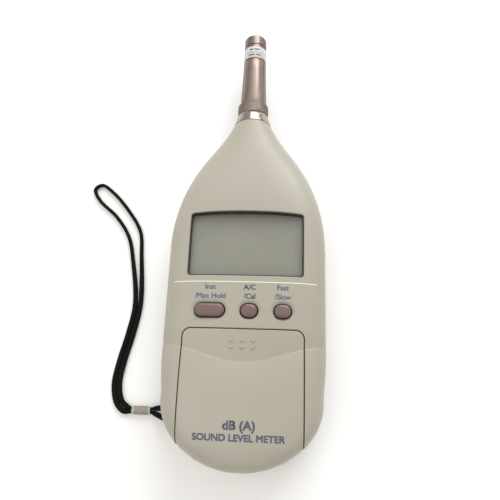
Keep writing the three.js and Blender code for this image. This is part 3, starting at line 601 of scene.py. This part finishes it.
def cover_shell():
    shell = case_half("cover_shell", FRONT, edge_round=PARTING_ROUND)
    inner = case_half("inner", FRONT, inset=COVER_WALL, step=4, segments=48, edge=-1)
    block = edged("block", lambda grow: cover_outline(grow - COVER_GAP / 2), 0, COVER_ROUND, INWARDS)
    combine(shell, "INTERSECT", block)
    combine(shell, "DIFFERENCE", inner)
    hook = [box("web", (-14, -60, 29.85), (14, -57.3, 32.5)),
            box("lip", (-14, -58, 29.85), (14, -54.2, 30.95))]
    ribs = [box("rib", (x - 0.6, -103, 30.1), (x + 0.6, -91, 34)) for x in (-14.8, 0, 14.8)]
    dots = [dome(x, y, GRIP_DOT_RADIUS, 0.45) for x in GRIP_DOTS_X for y in GRIP_DOTS_Y]
    combine(shell, "UNION", *hook, *ribs, *dots)
    return smooth(shell)


def rear_shell():
    shell = case_half("rear_shell", BACK, edge_round=PARTING_ROUND)
    inner = case_half("inner", BACK, inset=WALL, step=4, segments=48, edge=-1)
    block = box("strap_block", (-60, BAR_Y - 6, 2), (-31.4, BAR_Y + 6, 13))
    combine(block, "INTERSECT", copy_of(shell))
    posts = [post("post", 3.6, x, y, 1, seat + 4.3) for x, y, seat in CASE_SCREWS]
    boss = post("boss", 6.6, 0, TRIPOD_Y, 1, 10.6)
    plate = obround(52.8, 24.8, 0, -58)
    combine(shell, "DIFFERENCE", inner)
    combine(shell, "UNION", block, boss, *posts)
    cutters = [
        post("tripod_hole", 4.8, 0, TRIPOD_Y, -1, 9.3),
        box("strap_pocket", (-60, BAR_Y - 4.4, 4.8), (-32.8, BAR_Y + 4.4, 11.2)),
        post("bar_hole", 1.05, BAR_X, BAR_Y, 3.2, 12.2),
        prism("plate_recess", [(plate, -1), (plate, 0.75)]),
        neck_bore(),
        jack_bore(),
    ]
    for x, y, seat in CASE_SCREWS:
        cutters.append(post("screw_hole", 3, x, y, -1, seat))
        cutters.append(post("shank_hole", 1.6, x, y, -1, 20))
    combine(shell, "DIFFERENCE", *cutters)
    return smooth(shell)


# ------------------------------------------------------------------ keys and stem


def keycap(name, x, length):
    """Glossy convex key on its flange."""
    radius = KEY_HEIGHT / 2
    flange = obround(length + 1.8, KEY_HEIGHT + 1.8, x, KEY_Y)
    levels = [(flange, KEY_BOTTOM), (flange, KEY_BOTTOM + 1.1),
              (obround(length + 0.1, KEY_HEIGHT + 0.1, x, KEY_Y), KEY_BOTTOM + 1.2)]
    for step in range(15):
        inset = radius * (1 - math.cos(math.radians(90 * step / 15)))
        side = 1 - inset / radius
        crown = KEY_DOME * (1 - math.sqrt(max(0, 1 - side**3.2)))
        levels.append((obround(length - 2 * inset, KEY_HEIGHT - 2 * inset, x, KEY_Y), KEY_TOP - crown))
    return smooth(prism(name, levels), weighted=False)


def stem_parts():
    """Neck cone, tube, cartridge and label on the microphone's axis."""
    cone = turned("neck_cone", [
        (4.6, NECK_Y - 13), (6.4, NECK_Y - 13), (6.4, CONE_LOW_Y),
        (10.4, CONE_LOW_Y), (10.6, CONE_LOW_Y + 0.2), (10.5, CONE_LOW_Y + 0.7), (9.85, CONE_LOW_Y + 2.6),
        (9.3, CONE_LOW_Y + 4.6), (9.05, CONE_HIGH_Y - 0.25), (8.8, CONE_HIGH_Y), (6.9, CONE_HIGH_Y),
        (6.9, RING_HIGH_Y - 1.5), (4.6, RING_HIGH_Y - 1.5), (4.6, NECK_Y - 13)])
    tube = turned("stem_tube", [
        (5.6, TUBE_LOW_Y), (7.3, TUBE_LOW_Y), (7.55, TUBE_LOW_Y + 0.2), (7.6, TUBE_LOW_Y + 0.6), (7.45, 79),
        (7.25, 84), (7.08, 89), (6.95, 93), (6.78, 99), (6.7, TUBE_HIGH_Y - 0.3), (6.5, TUBE_HIGH_Y),
        (5.6, TUBE_HIGH_Y), (5.6, TUBE_LOW_Y)])
    cartridge = turned("cartridge", [
        (5.5, CARTRIDGE_LOW_Y), (6.45, CARTRIDGE_LOW_Y), (STEM_RADIUS, CARTRIDGE_LOW_Y + 0.15),
        (STEM_RADIUS, LABEL_LOW_Y), (6.1, LABEL_LOW_Y), (6.1, LABEL_HIGH_Y), (STEM_RADIUS, LABEL_HIGH_Y),
        (STEM_RADIUS, CARTRIDGE_HIGH_Y - 0.2), (6.4, CARTRIDGE_HIGH_Y), (5.5, CARTRIDGE_HIGH_Y),
        (5.5, CARTRIDGE_LOW_Y)])
    label = turned("label_band", [
        (6.3, LABEL_LOW_Y + 0.1), (6.62, LABEL_LOW_Y + 0.1), (6.66, LABEL_LOW_Y + 0.2),
        (6.66, LABEL_HIGH_Y - 0.2), (6.62, LABEL_HIGH_Y - 0.1), (6.3, LABEL_HIGH_Y - 0.1),
        (6.3, LABEL_LOW_Y + 0.1)])
    return [smooth(part, weighted=False) for part in (cone, tube, cartridge, label)]


def label_print():
    """Plain bars in two rows with a line between them, in place of the label's small print."""
    radius = 6.6
    bars = [(107.7, 0.45, 58, 84), (107.7, 0.45, 90, 122), (111.5, 0.45, 64, 92), (111.5, 0.45, 98, 118),
            (109.6, 0.12, 45, 135)]
    blocks = []
    for y, half, start, stop in bars:
        turn = np.radians(np.linspace(start, stop, 25))
        rings = []
        for a in turn:
            out = np.array([math.cos(a), math.sin(a)])
            corners = [(r, y + side * half) for r, side in
                       ((radius, -1), (radius + 0.12, -1), (radius + 0.12, 1), (radius, 1))]
            rings.append([(r * out[0], at, AXIS_Z + r * out[1]) for r, at in corners])
        blocks.append(loft("label_print", rings))
    return combine(blocks[0], "UNION", *blocks[1:])


KNURL_TEETH = 72
KNURL_DEPTH = 0.16
KNURL_RADIUS = 8.8
KNURL_TURNS = 4


def knurled_ring():
    """Lock ring with a fine diamond knurl between two plain edges."""
    low, high = RING_LOW_Y + 0.7, RING_HIGH_Y - 0.7
    inner = [(7.25, RING_LOW_Y), (8.5, RING_LOW_Y), (8.72, RING_LOW_Y + 0.2), (8.75, low - 0.1)]
    rows = [(KNURL_RADIUS, y) for y in np.linspace(low, high, 29)]
    outer = [(8.7, high + 0.1), (8.6, RING_HIGH_Y - 0.2), (8.4, RING_HIGH_Y), (7.25, RING_HIGH_Y),
             (7.25, RING_LOW_Y)]

    def diamonds(turn, radius, y):
        if radius != KNURL_RADIUS:
            return 0
        lean = (y - low) / (high - low) * 2 * math.pi * KNURL_TURNS
        right = np.abs(np.sin((KNURL_TEETH * turn + lean) / 2))
        left = np.abs(np.sin((KNURL_TEETH * turn - lean) / 2))
        return KNURL_DEPTH * (np.minimum(right, left) - 0.6)

    ring = turned("knurled_ring", inner + rows + outer, sides=KNURL_TEETH * 6, swell=diamonds)
    return smooth(ring, angle=60, weighted=False)


def grid_cap():
    """Protection grid: rounded cap with a pattern of slots in its face."""
    shoulder = 1.7
    outside = [(STEM_RADIUS - shoulder * (1 - math.cos(a)), HALF_LENGTH - shoulder * (1 - math.sin(a)))
               for a in np.radians(np.linspace(0, 90, 9))]
    cap = turned("grid_cap", [(5.7, GRID_LOW_Y), (6.4, GRID_LOW_Y), (STEM_RADIUS, GRID_LOW_Y + 0.2)]
                 + outside + [(0.01, HALF_LENGTH), (0.01, HALF_LENGTH - 0.9), (4.8, HALF_LENGTH - 0.9),
                              (5.7, HALF_LENGTH - 1.8), (5.7, GRID_LOW_Y)])
    cutters = []
    for i in range(12):
        turn = 2 * math.pi * i / 12
        reach = (2.0, 4.7) if i % 2 else (2.9, 4.7)
        cutters.append(slot_cutter(turn, *reach))
    combine(cap, "DIFFERENCE", *cutters)
    return smooth(cap)


def slot_cutter(turn, near, far):
    half = 0.35
    along = np.array([math.cos(turn), math.sin(turn)])
    across = np.array([-along[1], along[0]])
    ends = []
    for centre, start in ((far, -90), (near, 90)):
        for a in np.radians(np.linspace(start, start + 180, 7)):
            ends.append(along * (centre + half * math.cos(a)) + across * half * math.sin(a))
    rings = [[(p[0], y, AXIS_Z + p[1]) for p in ends] for y in (HALF_LENGTH - 3, HALF_LENGTH + 2)]
    return loft("slot", rings)


# ------------------------------------------------------------------ strap


def catmull_rom(route, steps_each):
    """Smooth curve through the route's points, like the centripetal one of the solid."""
    points = [np.array(p, float) for p in route]
    points = [2 * points[0] - points[1]] + points + [2 * points[-1] - points[-2]]
    curve = []
    for i in range(1, len(points) - 2):
        p = points[i - 1:i + 3]
        gaps = [max(np.linalg.norm(p[k + 1] - p[k]), 1e-6) ** 0.5 for k in range(3)]
        slope1 = ((p[1] - p[0]) / gaps[0] - (p[2] - p[0]) / (gaps[0] + gaps[1])
                  + (p[2] - p[1]) / gaps[1]) * gaps[1]
        slope2 = ((p[2] - p[1]) / gaps[1] - (p[3] - p[1]) / (gaps[1] + gaps[2])
                  + (p[3] - p[2]) / gaps[2]) * gaps[1]
        for t in np.linspace(0, 1, steps_each, endpoint=False):
            curve.append((2 * t**3 - 3 * t**2 + 1) * p[1] + (t**3 - 2 * t**2 + t) * slope1
                         + (3 * t**2 - 2 * t**3) * p[2] + (t**3 - t**2) * slope2)
    curve.append(points[-2])
    return np.array(curve)


def even_steps(curve, spacing):
    """The curve's points at an even spacing, and their lengths along it."""
    lengths = np.concatenate([[0], np.cumsum(np.linalg.norm(np.diff(curve, axis=0), axis=1))])
    wanted = np.linspace(0, lengths[-1], int(lengths[-1] / spacing) + 1)
    return np.column_stack([np.interp(wanted, lengths, curve[:, k]) for k in range(3)]), wanted


BRAID_STRANDS = 8
BRAID_PITCH = 6.0
BRAID_SIDES = 32
BRAID_STEP = 0.3
CURVE_STEPS = 12  # between two points of the route


def strap_half_width(x, y):
    """Squeezed in the ferrule, narrow in the open loop and wide along the doubled run."""
    lying = STRAP_NARROW + (STRAP_WIDE - STRAP_NARROW) * smoothstep(-y, -10, 40)
    free = smoothstep(math.hypot(x - FERRULE[0], y - FERRULE[1]), 5.2, 9)
    return STRAP_SQUEEZED + (lying - STRAP_SQUEEZED) * free


def braided_strap(name, route):
    """Flat strap along the route whose surface is woven from strands that cross over and under."""
    curve, lengths = even_steps(catmull_rom(route, CURVE_STEPS), BRAID_STEP)
    tangents = np.gradient(curve, axis=0)
    tangents /= np.linalg.norm(tangents, axis=1)[:, None]
    turn = np.linspace(0, 2 * math.pi, BRAID_SIDES, endpoint=False)
    half = BRAID_STRANDS / 2
    rings = []
    for centre, tangent, length in zip(curve, tangents, lengths):
        across = np.cross(tangent, (0, 0, 1))
        across /= np.linalg.norm(across)
        upward = np.cross(across, tangent)
        lean = 2 * math.pi * length / BRAID_PITCH
        right = np.abs(np.cos(half * (turn + lean)))
        left = np.abs(np.cos(half * (turn - lean)))
        over = 0.5 + 0.5 * np.sin(half * (turn + lean)) * np.sin(half * (turn - lean))
        weave = np.where(over > 0.5, np.maximum(right, 0.8 * left), np.maximum(left, 0.8 * right))
        share = (0.84 + 0.18 * weave)[:, None]
        wide = strap_half_width(centre[0], centre[1]) * np.cos(turn)[:, None] * across
        high = STRAP_HALF_HEIGHT * np.sin(turn)[:, None] * upward
        rings.append(centre + share * (wide + high))
    return smooth(loft(name, rings), angle=80, weighted=False), curve


def grip_tube(name, half, outer_height, inner_height, crimp):
    """Flat oval tube along X that grips both strands, squeezed where crimp says so."""
    x0, y0, z0 = FERRULE
    rings = []
    stations = np.linspace(-half, half, 33)
    for height, order in ((outer_height, stations), (inner_height, stations[::-1])):
        for x in order:
            squeeze = crimp(x) if height == outer_height else 0
            grown = height - squeeze
            outline = obround(GRIP_SPREAD + grown, grown, 0, 0)
            across, upward = outline.T
            rings.append(np.column_stack([np.full(len(outline), x0 + x), y0 + across, z0 + upward]))
    return smooth(loop_skin(name, rings), angle=50, weighted=False)


# ------------------------------------------------------------------ printed marks, and the divider's painted highlight

INK_RISE = 0.07
INK_DEPTH = 0.1
LETTER_CAP = 0.7  # height of the font's capitals at size 1
DIVIDER_HALF = 36
DIVIDER_Y = -33.7
DIVIDER_WIDTH = 0.36
KEY_WORDS = {"hold": ("Inst", "/Max Hold"), "weighting": ("A/C", "/Cal"), "response": ("Fast", "/Slow")}
KEY_WORDS_Y = (-37.6, -42.2)
KEY_WORDS_CAP = 2.7
KEY_WORDS_WEIGHT = 0.02
# A title is (name, words, y, cap height, width).
TITLES = (("title_top", "dB (A)", -103.2, 4.2, 15), ("title_low", "SOUND LEVEL METER", -108.1, 3.2, 42.5))
TITLE_WEIGHT = 0.035


def flat_letters(name, text):
    """Closed solid letters in the plane, one unit high before they are scaled."""
    curve = bpy.data.curves.new(name, "FONT")
    curve.body = text
    curve.extrude = 0.5
    curve.resolution_u = 4
    font = placed(name, curve)
    bpy.context.view_layer.update()
    mesh = bpy.data.meshes.new_from_object(font.evaluated_get(bpy.context.evaluated_depsgraph_get()))
    bpy.data.objects.remove(font)
    return right_way_out(placed(name, mesh))


def struck(letters, reach):
    """Letters struck again at four small offsets, which makes them bolder."""
    work = bmesh.new()
    for dx, dy in ((0, 0), (1, 1), (1, -1), (-1, 1), (-1, -1)):
        mesh = letters.data.copy()
        mesh.transform(Matrix.Translation((dx * reach, dy * reach, 0)))
        work.from_mesh(mesh)
    work.to_mesh(letters.data)
    work.free()


def printed(name, text, x, y, cap_height, weight, width=None):
    """Printed letters that follow the front face, centred on x and standing on y."""
    letters = flat_letters(name, text)
    struck(letters, weight)
    mesh = letters.data
    co = np.array([v.co for v in mesh.vertices], float)
    low, high = co.min(axis=0), co.max(axis=0)
    cap = LETTER_CAP + 2 * weight
    scale_y = cap_height / cap
    scale_x = width / (high[0] - low[0]) if width else scale_y
    co[:, 0] = x + scale_x * (co[:, 0] - (low[0] + high[0]) / 2)
    co[:, 1] = y + scale_y * (co[:, 1] + weight)
    co[:, 2] = front_z(co[:, 0], co[:, 1]) + np.where(co[:, 2] > 0, INK_RISE, -INK_DEPTH)
    mesh.vertices.foreach_set("co", (MM * co).ravel())
    mesh.update()
    return letters


def painted_highlight_line(name, half, y, width, steps=60):
    """Thin inlaid line straight across the front face; its pale colour is a painted highlight for the light
    that catches the divider's ridge.
    """
    edges = ((-width / 2, -INK_DEPTH), (width / 2, -INK_DEPTH), (width / 2, INK_RISE), (-width / 2, INK_RISE))
    rings = []
    for x in np.linspace(-half, half, steps + 1):
        rings.append([(x, y + dy, float(front_z(x, y)) + up) for dy, up in edges])
    return loft(name, rings)


# ------------------------------------------------------------------ materials


class Look:
    """A material with its nodes at hand; coordinates are the object's own, in metres."""

    def __init__(self, name, color, roughness, metallic=0.0, **sockets):
        self.material = bpy.data.materials.new(name)
        self.material.use_nodes = True
        self.nodes = self.material.node_tree.nodes
        self.links = self.material.node_tree.links
        self.shader = self.nodes["Principled BSDF"]
        self.shader.inputs["Base Color"].default_value = (*color, 1)
        self.shader.inputs["Roughness"].default_value = roughness
        self.shader.inputs["Metallic"].default_value = metallic
        for socket, value in sockets.items():
            self.shader.inputs[socket.replace("_", " ")].default_value = value
        self.place = self.nodes.new("ShaderNodeTexCoord").outputs["Object"]

    def link(self, output, socket):
        self.links.new(output, socket)

    def stretched(self, scale):
        """Coordinates scaled by a vector, for grain that runs one way."""
        mapping = self.nodes.new("ShaderNodeMapping")
        mapping.inputs["Scale"].default_value = scale
        self.link(self.place, mapping.inputs["Vector"])
        return mapping.outputs["Vector"]

    def noise(self, scale, detail=3.0, roughness=0.5, place=None):
        node = self.nodes.new("ShaderNodeTexNoise")
        node.inputs["Scale"].default_value = scale
        node.inputs["Detail"].default_value = detail
        node.inputs["Roughness"].default_value = roughness
        self.link(place or self.place, node.inputs["Vector"])
        return node.outputs["Fac"]

    def cell_edges(self, scale):
        node = self.nodes.new("ShaderNodeTexVoronoi")
        node.feature = "DISTANCE_TO_EDGE"
        node.inputs["Scale"].default_value = scale
        self.link(self.place, node.inputs["Vector"])
        return node.outputs["Distance"]

    def spread(self, value, low, high, from_low=0.3, from_high=0.7):
        node = self.nodes.new("ShaderNodeMapRange")
        node.inputs["From Min"].default_value = from_low
        node.inputs["From Max"].default_value = from_high
        node.inputs["To Min"].default_value = low
        node.inputs["To Max"].default_value = high
        self.link(value, node.inputs["Value"])
        return node.outputs["Result"]

    def between(self, share, first, second):
        node = self.nodes.new("ShaderNodeMix")
        node.data_type = "RGBA"
        node.inputs["A"].default_value = (*first, 1)
        node.inputs["B"].default_value = (*second, 1)
        self.link(share, node.inputs["Factor"])
        return node.outputs["Result"]

    def color(self, output):
        self.link(output, self.shader.inputs["Base Color"])

    def rough(self, output):
        self.link(output, self.shader.inputs["Roughness"])

    def bump(self, height, distance, strength=1.0, under=None):
        node = self.nodes.new("ShaderNodeBump")
        node.inputs["Distance"].default_value = distance
        node.inputs["Strength"].default_value = strength
        self.link(height, node.inputs["Height"])
        if under is not None:
            self.link(under, node.inputs["Normal"])
        self.link(node.outputs["Normal"], self.shader.inputs["Normal"])
        return node.outputs["Normal"]


def linear(red, green, blue):
    """Colour of 0 to 255 display values as the shader wants it."""
    return tuple(((c / 255 + 0.055) / 1.055) ** 2.4 if c > 10 else c / 255 / 12.92
                 for c in (red, green, blue))


def case_plastic():
    look = Look("case_plastic", linear(167, 162, 148), 0.42)
    drift = look.noise(9, detail=2)
    look.color(look.between(look.spread(drift, 0, 1), linear(169, 165, 152), linear(164, 158, 144)))
    look.rough(look.spread(look.noise(60, detail=4), 0.36, 0.48))
    grain = look.bump(look.noise(2600, detail=2), 0.00003, 0.5)
    look.bump(look.noise(25, detail=1), 0.00012, 0.3, under=grain)
    return look.material


def key_plastic():
    look = Look("key_plastic", linear(114, 92, 89), 0.24)
    look.color(look.between(look.spread(look.noise(40), 0, 1), linear(116, 94, 91), linear(111, 89, 86)))
    look.rough(look.spread(look.noise(250, detail=3), 0.22, 0.28))
    return look.material


def metal(name, color, rough_low, rough_high, streaks, contrast=0.82, depth=0.00002):
    """Turned or drawn metal; streaks is the coordinate scale that gives the grain its run."""
    look = Look(name, color, rough_low, 1.0)
    grain = look.noise(1, detail=4, place=look.stretched(streaks))
    look.rough(look.spread(grain, rough_low, rough_high))
    dark = tuple(contrast * c for c in color)
    look.color(look.between(look.spread(grain, 0, 1), color, dark))
    look.bump(grain, depth, 0.5)
    return look.material


def black_plastic():
    look = Look("black_plastic", linear(38, 38, 40), 0.45)
    look.rough(look.spread(look.noise(500, detail=4), 0.36, 0.56))
    look.bump(look.noise(1800, detail=2), 0.00003, 0.5)
    return look.material


def lcd_glass():
    look = Look("lcd_glass", linear(107, 105, 88), 0.3, Coat_Weight=0.2, Coat_Roughness=0.1)
    look.color(look.between(look.spread(look.noise(14, detail=1), 0, 1), linear(109, 107, 90),
                            linear(105, 103, 86)))
    look.rough(look.spread(look.noise(700, detail=3), 0.25, 0.38))
    return look.material


def clear_window():
    look = Look("clear_window", (0.9, 0.92, 0.88), 0.06, Alpha=0.08, IOR=1.49)
    look.rough(look.spread(look.noise(300, detail=5), 0.03, 0.12))
    return look.material


def circuit_board():
    look = Look("circuit_board", linear(38, 92, 52), 0.35)
    tracks = look.cell_edges(260)
    look.color(look.between(look.spread(tracks, 0, 1, 0.02, 0.06), linear(60, 122, 66), linear(32, 84, 48)))
    look.rough(look.spread(look.noise(300), 0.28, 0.45))
    look.bump(tracks, 0.00004, 0.5)
    return look.material


def soft_plastic(name, color, roughness):
    look = Look(name, color, roughness)
    darker = tuple(0.8 * c for c in color)
    look.color(look.between(look.spread(look.noise(500, detail=4), 0, 1), color, darker))
    look.rough(look.spread(look.noise(800), roughness - 0.08, roughness + 0.1))
    look.bump(look.noise(1500, detail=3), 0.00003, 0.5)
    return look.material


def braid_fabric():
    look = Look("braid_fabric", linear(14, 12, 12), 0.85, Specular_IOR_Level=0.15)
    fibres = look.noise(4200, detail=3, roughness=0.7)
    look.color(look.between(look.spread(fibres, 0, 1), linear(8, 7, 7), linear(26, 22, 20)))
    look.bump(fibres, 0.00006, 0.8)
    return look.material


def ink(name, color):
    look = Look(name, color, 0.5)
    lighter = tuple(min(1, 1.25 * c + 0.01) for c in color)
    look.color(look.between(look.spread(look.noise(3000, detail=3), 0, 1), color, lighter))
    look.rough(look.spread(look.noise(2000), 0.42, 0.6))
    return look.material


# ------------------------------------------------------------------ camera

CAMERA_AT = (18.5, -90.95, 275.2)
CAMERA_AIM = (1.1, -12.35, 18)
CAMERA_ROLL = 0.037
CAMERA_LENS = 36


def add_camera():
    data = bpy.data.cameras.new("camera")
    data.sensor_width = CAMERA_LENS
    data.lens = CAMERA_LENS
    data.clip_start = 0.01
    camera = placed("camera", data)
    camera.location = Vector(CAMERA_AT) * MM
    back = (Vector(CAMERA_AT) - Vector(CAMERA_AIM)).normalized()
    right = Vector((0, 1, 0)).cross(back).normalized()
    up = back.cross(right)
    rolled = right * math.cos(CAMERA_ROLL) + up * math.sin(CAMERA_ROLL)
    upright = back.cross(rolled)
    rotation = np.array([rolled, upright, back]).T
    camera.rotation_mode = "QUATERNION"
    camera.rotation_quaternion = Matrix(rotation.tolist()).to_quaternion()
    bpy.context.scene.camera = camera


add_camera()

# ------------------------------------------------------------------ strap and pieces

looks = {
    "case_plastic": case_plastic(),
    "key_plastic": key_plastic(),
    "black_plastic": black_plastic(),
    "circuit_board": circuit_board(),
    "tin_plate": metal("tin_plate", (0.62, 0.62, 0.62), 0.2, 0.38, (300, 2500, 300)),
    "brass": metal("brass", (0.62, 0.46, 0.2), 0.2, 0.35, (300, 2500, 300)),
    "window": clear_window(),
    "lcd": lcd_glass(),
    "red_rubber": soft_plastic("red_rubber", linear(150, 38, 34), 0.5),
    "cell_jacket": soft_plastic("cell_jacket", linear(40, 58, 92), 0.3),
    "bright_steel": metal("bright_steel", (0.42, 0.34, 0.29), 0.16, 0.26, (200, 3000, 200)),
    "crimp_steel": metal("crimp_steel", (0.36, 0.31, 0.28), 0.42, 0.55, (300, 900, 300)),
    "ring_metal": metal("ring_metal", (0.25, 0.22, 0.19), 0.45, 0.6, (600, 600, 600)),
    "brushed_steel": metal("brushed_steel", (0.33, 0.26, 0.225), 0.4, 0.54, (700, 12, 700), 0.55),
    "label": soft_plastic("label", linear(208, 208, 206), 0.45),
    "cord": braid_fabric(),
    "sleeve": soft_plastic("sleeve", linear(168, 192, 168), 0.35),
}

strap, strap_path = braided_strap("wrist_strap", STRAP_ROUTE)
piece(strap, "case", "cord", looks["cord"], "strap_cord")


def ferrule_squeeze(x):
    """Two shallow grooves pressed into the ferrule, and its rounded ends."""
    return 0.2 * math.exp(-((abs(x) - 1.6) / 0.5) ** 2) + 0.1 * smoothstep(abs(x), 3.3, FERRULE_HALF)


sleeve = grip_tube("strap_grip_sleeve", SLEEVE_HALF, *SLEEVE_HEIGHTS, lambda x: 0)
piece(sleeve, "case", "sleeve", looks["sleeve"], "strap_sleeve")
ferrule = grip_tube("strap_crimp", FERRULE_HALF, *FERRULE_HEIGHTS, ferrule_squeeze)
piece(ferrule, "case", "bright_steel", looks["crimp_steel"], "strap_ferrule")
strap_length = float(np.sum(np.linalg.norm(np.diff(strap_path, axis=0), axis=1))) * MM
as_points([tuple(MM * c) for c in strap_path[:-1:4]] + [tuple(MM * strap_path[-1])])

piece(front_shell(), "case", "case_plastic", looks["case_plastic"], "front_case")
piece(window_gasket(), "case", "black_plastic", looks["black_plastic"])
piece(rear_shell(), "case", "case_plastic", looks["case_plastic"], "rear_case")
piece(cover_shell(), "battery_cover", "case_plastic", looks["case_plastic"], "battery_cover")
for key_name, key_x, key_length in KEYS:
    piece(keycap("cap_" + key_name, key_x, key_length), "key_" + key_name, "key_plastic",
          looks["key_plastic"], "key_" + key_name)

key_ink = ink("key_ink", linear(88, 96, 124))
title_ink = ink("title_ink", linear(78, 80, 96))
# The divider's pale cream colour is a painted highlight: light on a small ridge across the front, laid on as
# a line.
divider_painted_highlight = ink("divider_painted_highlight", linear(236, 230, 212))

cone, tube, cartridge, label_band = stem_parts()
piece(cone, "case", "bright_steel", looks["bright_steel"], "neck_socket")
piece(tube, "case", "brushed_steel", looks["brushed_steel"], "preamp_tube")
piece(cartridge, "case", "brushed_steel", looks["brushed_steel"], "mic_cartridge")
piece(label_band, "case", "label", looks["label"], "mic_label")
piece(label_print(), "case", "label", title_ink)
piece(knurled_ring(), "lock_ring", "ring_metal", looks["ring_metal"], "lock_ring")
piece(grid_cap(), "case", "brushed_steel", looks["brushed_steel"], "mic_grid")

# Divider strip, coloured with the painted highlight.
piece(painted_highlight_line("divider", DIVIDER_HALF, DIVIDER_Y, DIVIDER_WIDTH), "case", "case_plastic", divider_painted_highlight)
for key_name, key_x, _ in KEYS:
    for row_name, row_y, words in zip(("top", "low"), KEY_WORDS_Y, KEY_WORDS[key_name]):
        mark = printed(f"mark_{key_name}_{row_name}", words, key_x, row_y, KEY_WORDS_CAP, KEY_WORDS_WEIGHT)
        piece(mark, "case", "key_plastic", key_ink)
for title_name, words, title_y, cap_height, title_width in TITLES:
    title = printed(title_name, words, 0, title_y, cap_height, TITLE_WEIGHT, title_width)
    piece(title, "battery_cover", "black_plastic", title_ink)

# CAD nodes whose shape is right keep it, and take the finish of their slot.
for row in frame["record"]["subparts"]:
    node = frame["nodes"][row["node"]]
    node.data.materials.clear()
    node.data.materials.append(looks[row["material_slot"]])

# ------------------------------------------------------------------ stage and light

FLOOR_HALF = 1500
SKY_LOW = 0.56
SKY_HIGH = 0.92


def add_floor():
    corners = [(x * FLOOR_HALF, y * FLOOR_HALF, 0) for x, y in ((-1, -1), (1, -1), (1, 1), (-1, 1))]
    floor = new_object("floor", corners, [(0, 1, 2, 3)])
    look = Look("floor", linear(250, 250, 249), 0.7)
    look.bump(look.noise(120, detail=3), 0.0001, 0.2)
    floor.data.materials.append(look.material)


def add_light(name, place, size, power, color):
    """Soft rectangular light that faces the origin; its place and size are in metres."""
    data = bpy.data.lights.new(name, "AREA")
    data.shape = "RECTANGLE"
    data.size, data.size_y = size
    data.energy = power
    data.color = color
    light = placed(name, data)
    light.location = place
    light.rotation_euler = (-Vector(place)).to_track_quat("-Z", "Y").to_euler()


def add_world():
    """Pale sky that is brightest overhead."""
    world = bpy.data.worlds.new("studio")
    world.use_nodes = True
    nodes, links = world.node_tree.nodes, world.node_tree.links
    place = nodes.new("ShaderNodeTexCoord")
    split = nodes.new("ShaderNodeSeparateXYZ")
    ramp = nodes.new("ShaderNodeMapRange")
    ramp.inputs["From Min"].default_value = 0.0
    ramp.inputs["From Max"].default_value = 0.9
    ramp.inputs["To Min"].default_value = SKY_LOW
    ramp.inputs["To Max"].default_value = SKY_HIGH
    links.new(place.outputs["Generated"], split.inputs["Vector"])
    links.new(split.outputs["Z"], ramp.inputs["Value"])
    nodes["Background"].inputs["Color"].default_value = (1, 0.98, 0.955, 1)
    links.new(ramp.outputs["Result"], nodes["Background"].inputs["Strength"])
    bpy.context.scene.world = world


add_floor()
add_world()
add_light("window_light", (0.3, 1.05, 0.7), (1.0, 0.7), 12, (0.96, 0.98, 1.0))
add_light("fill_light", (-0.7, -0.2, 0.9), (0.9, 0.9), 2, (1.0, 0.95, 0.88))
bpy.context.scene.view_settings.view_transform = "Standard"
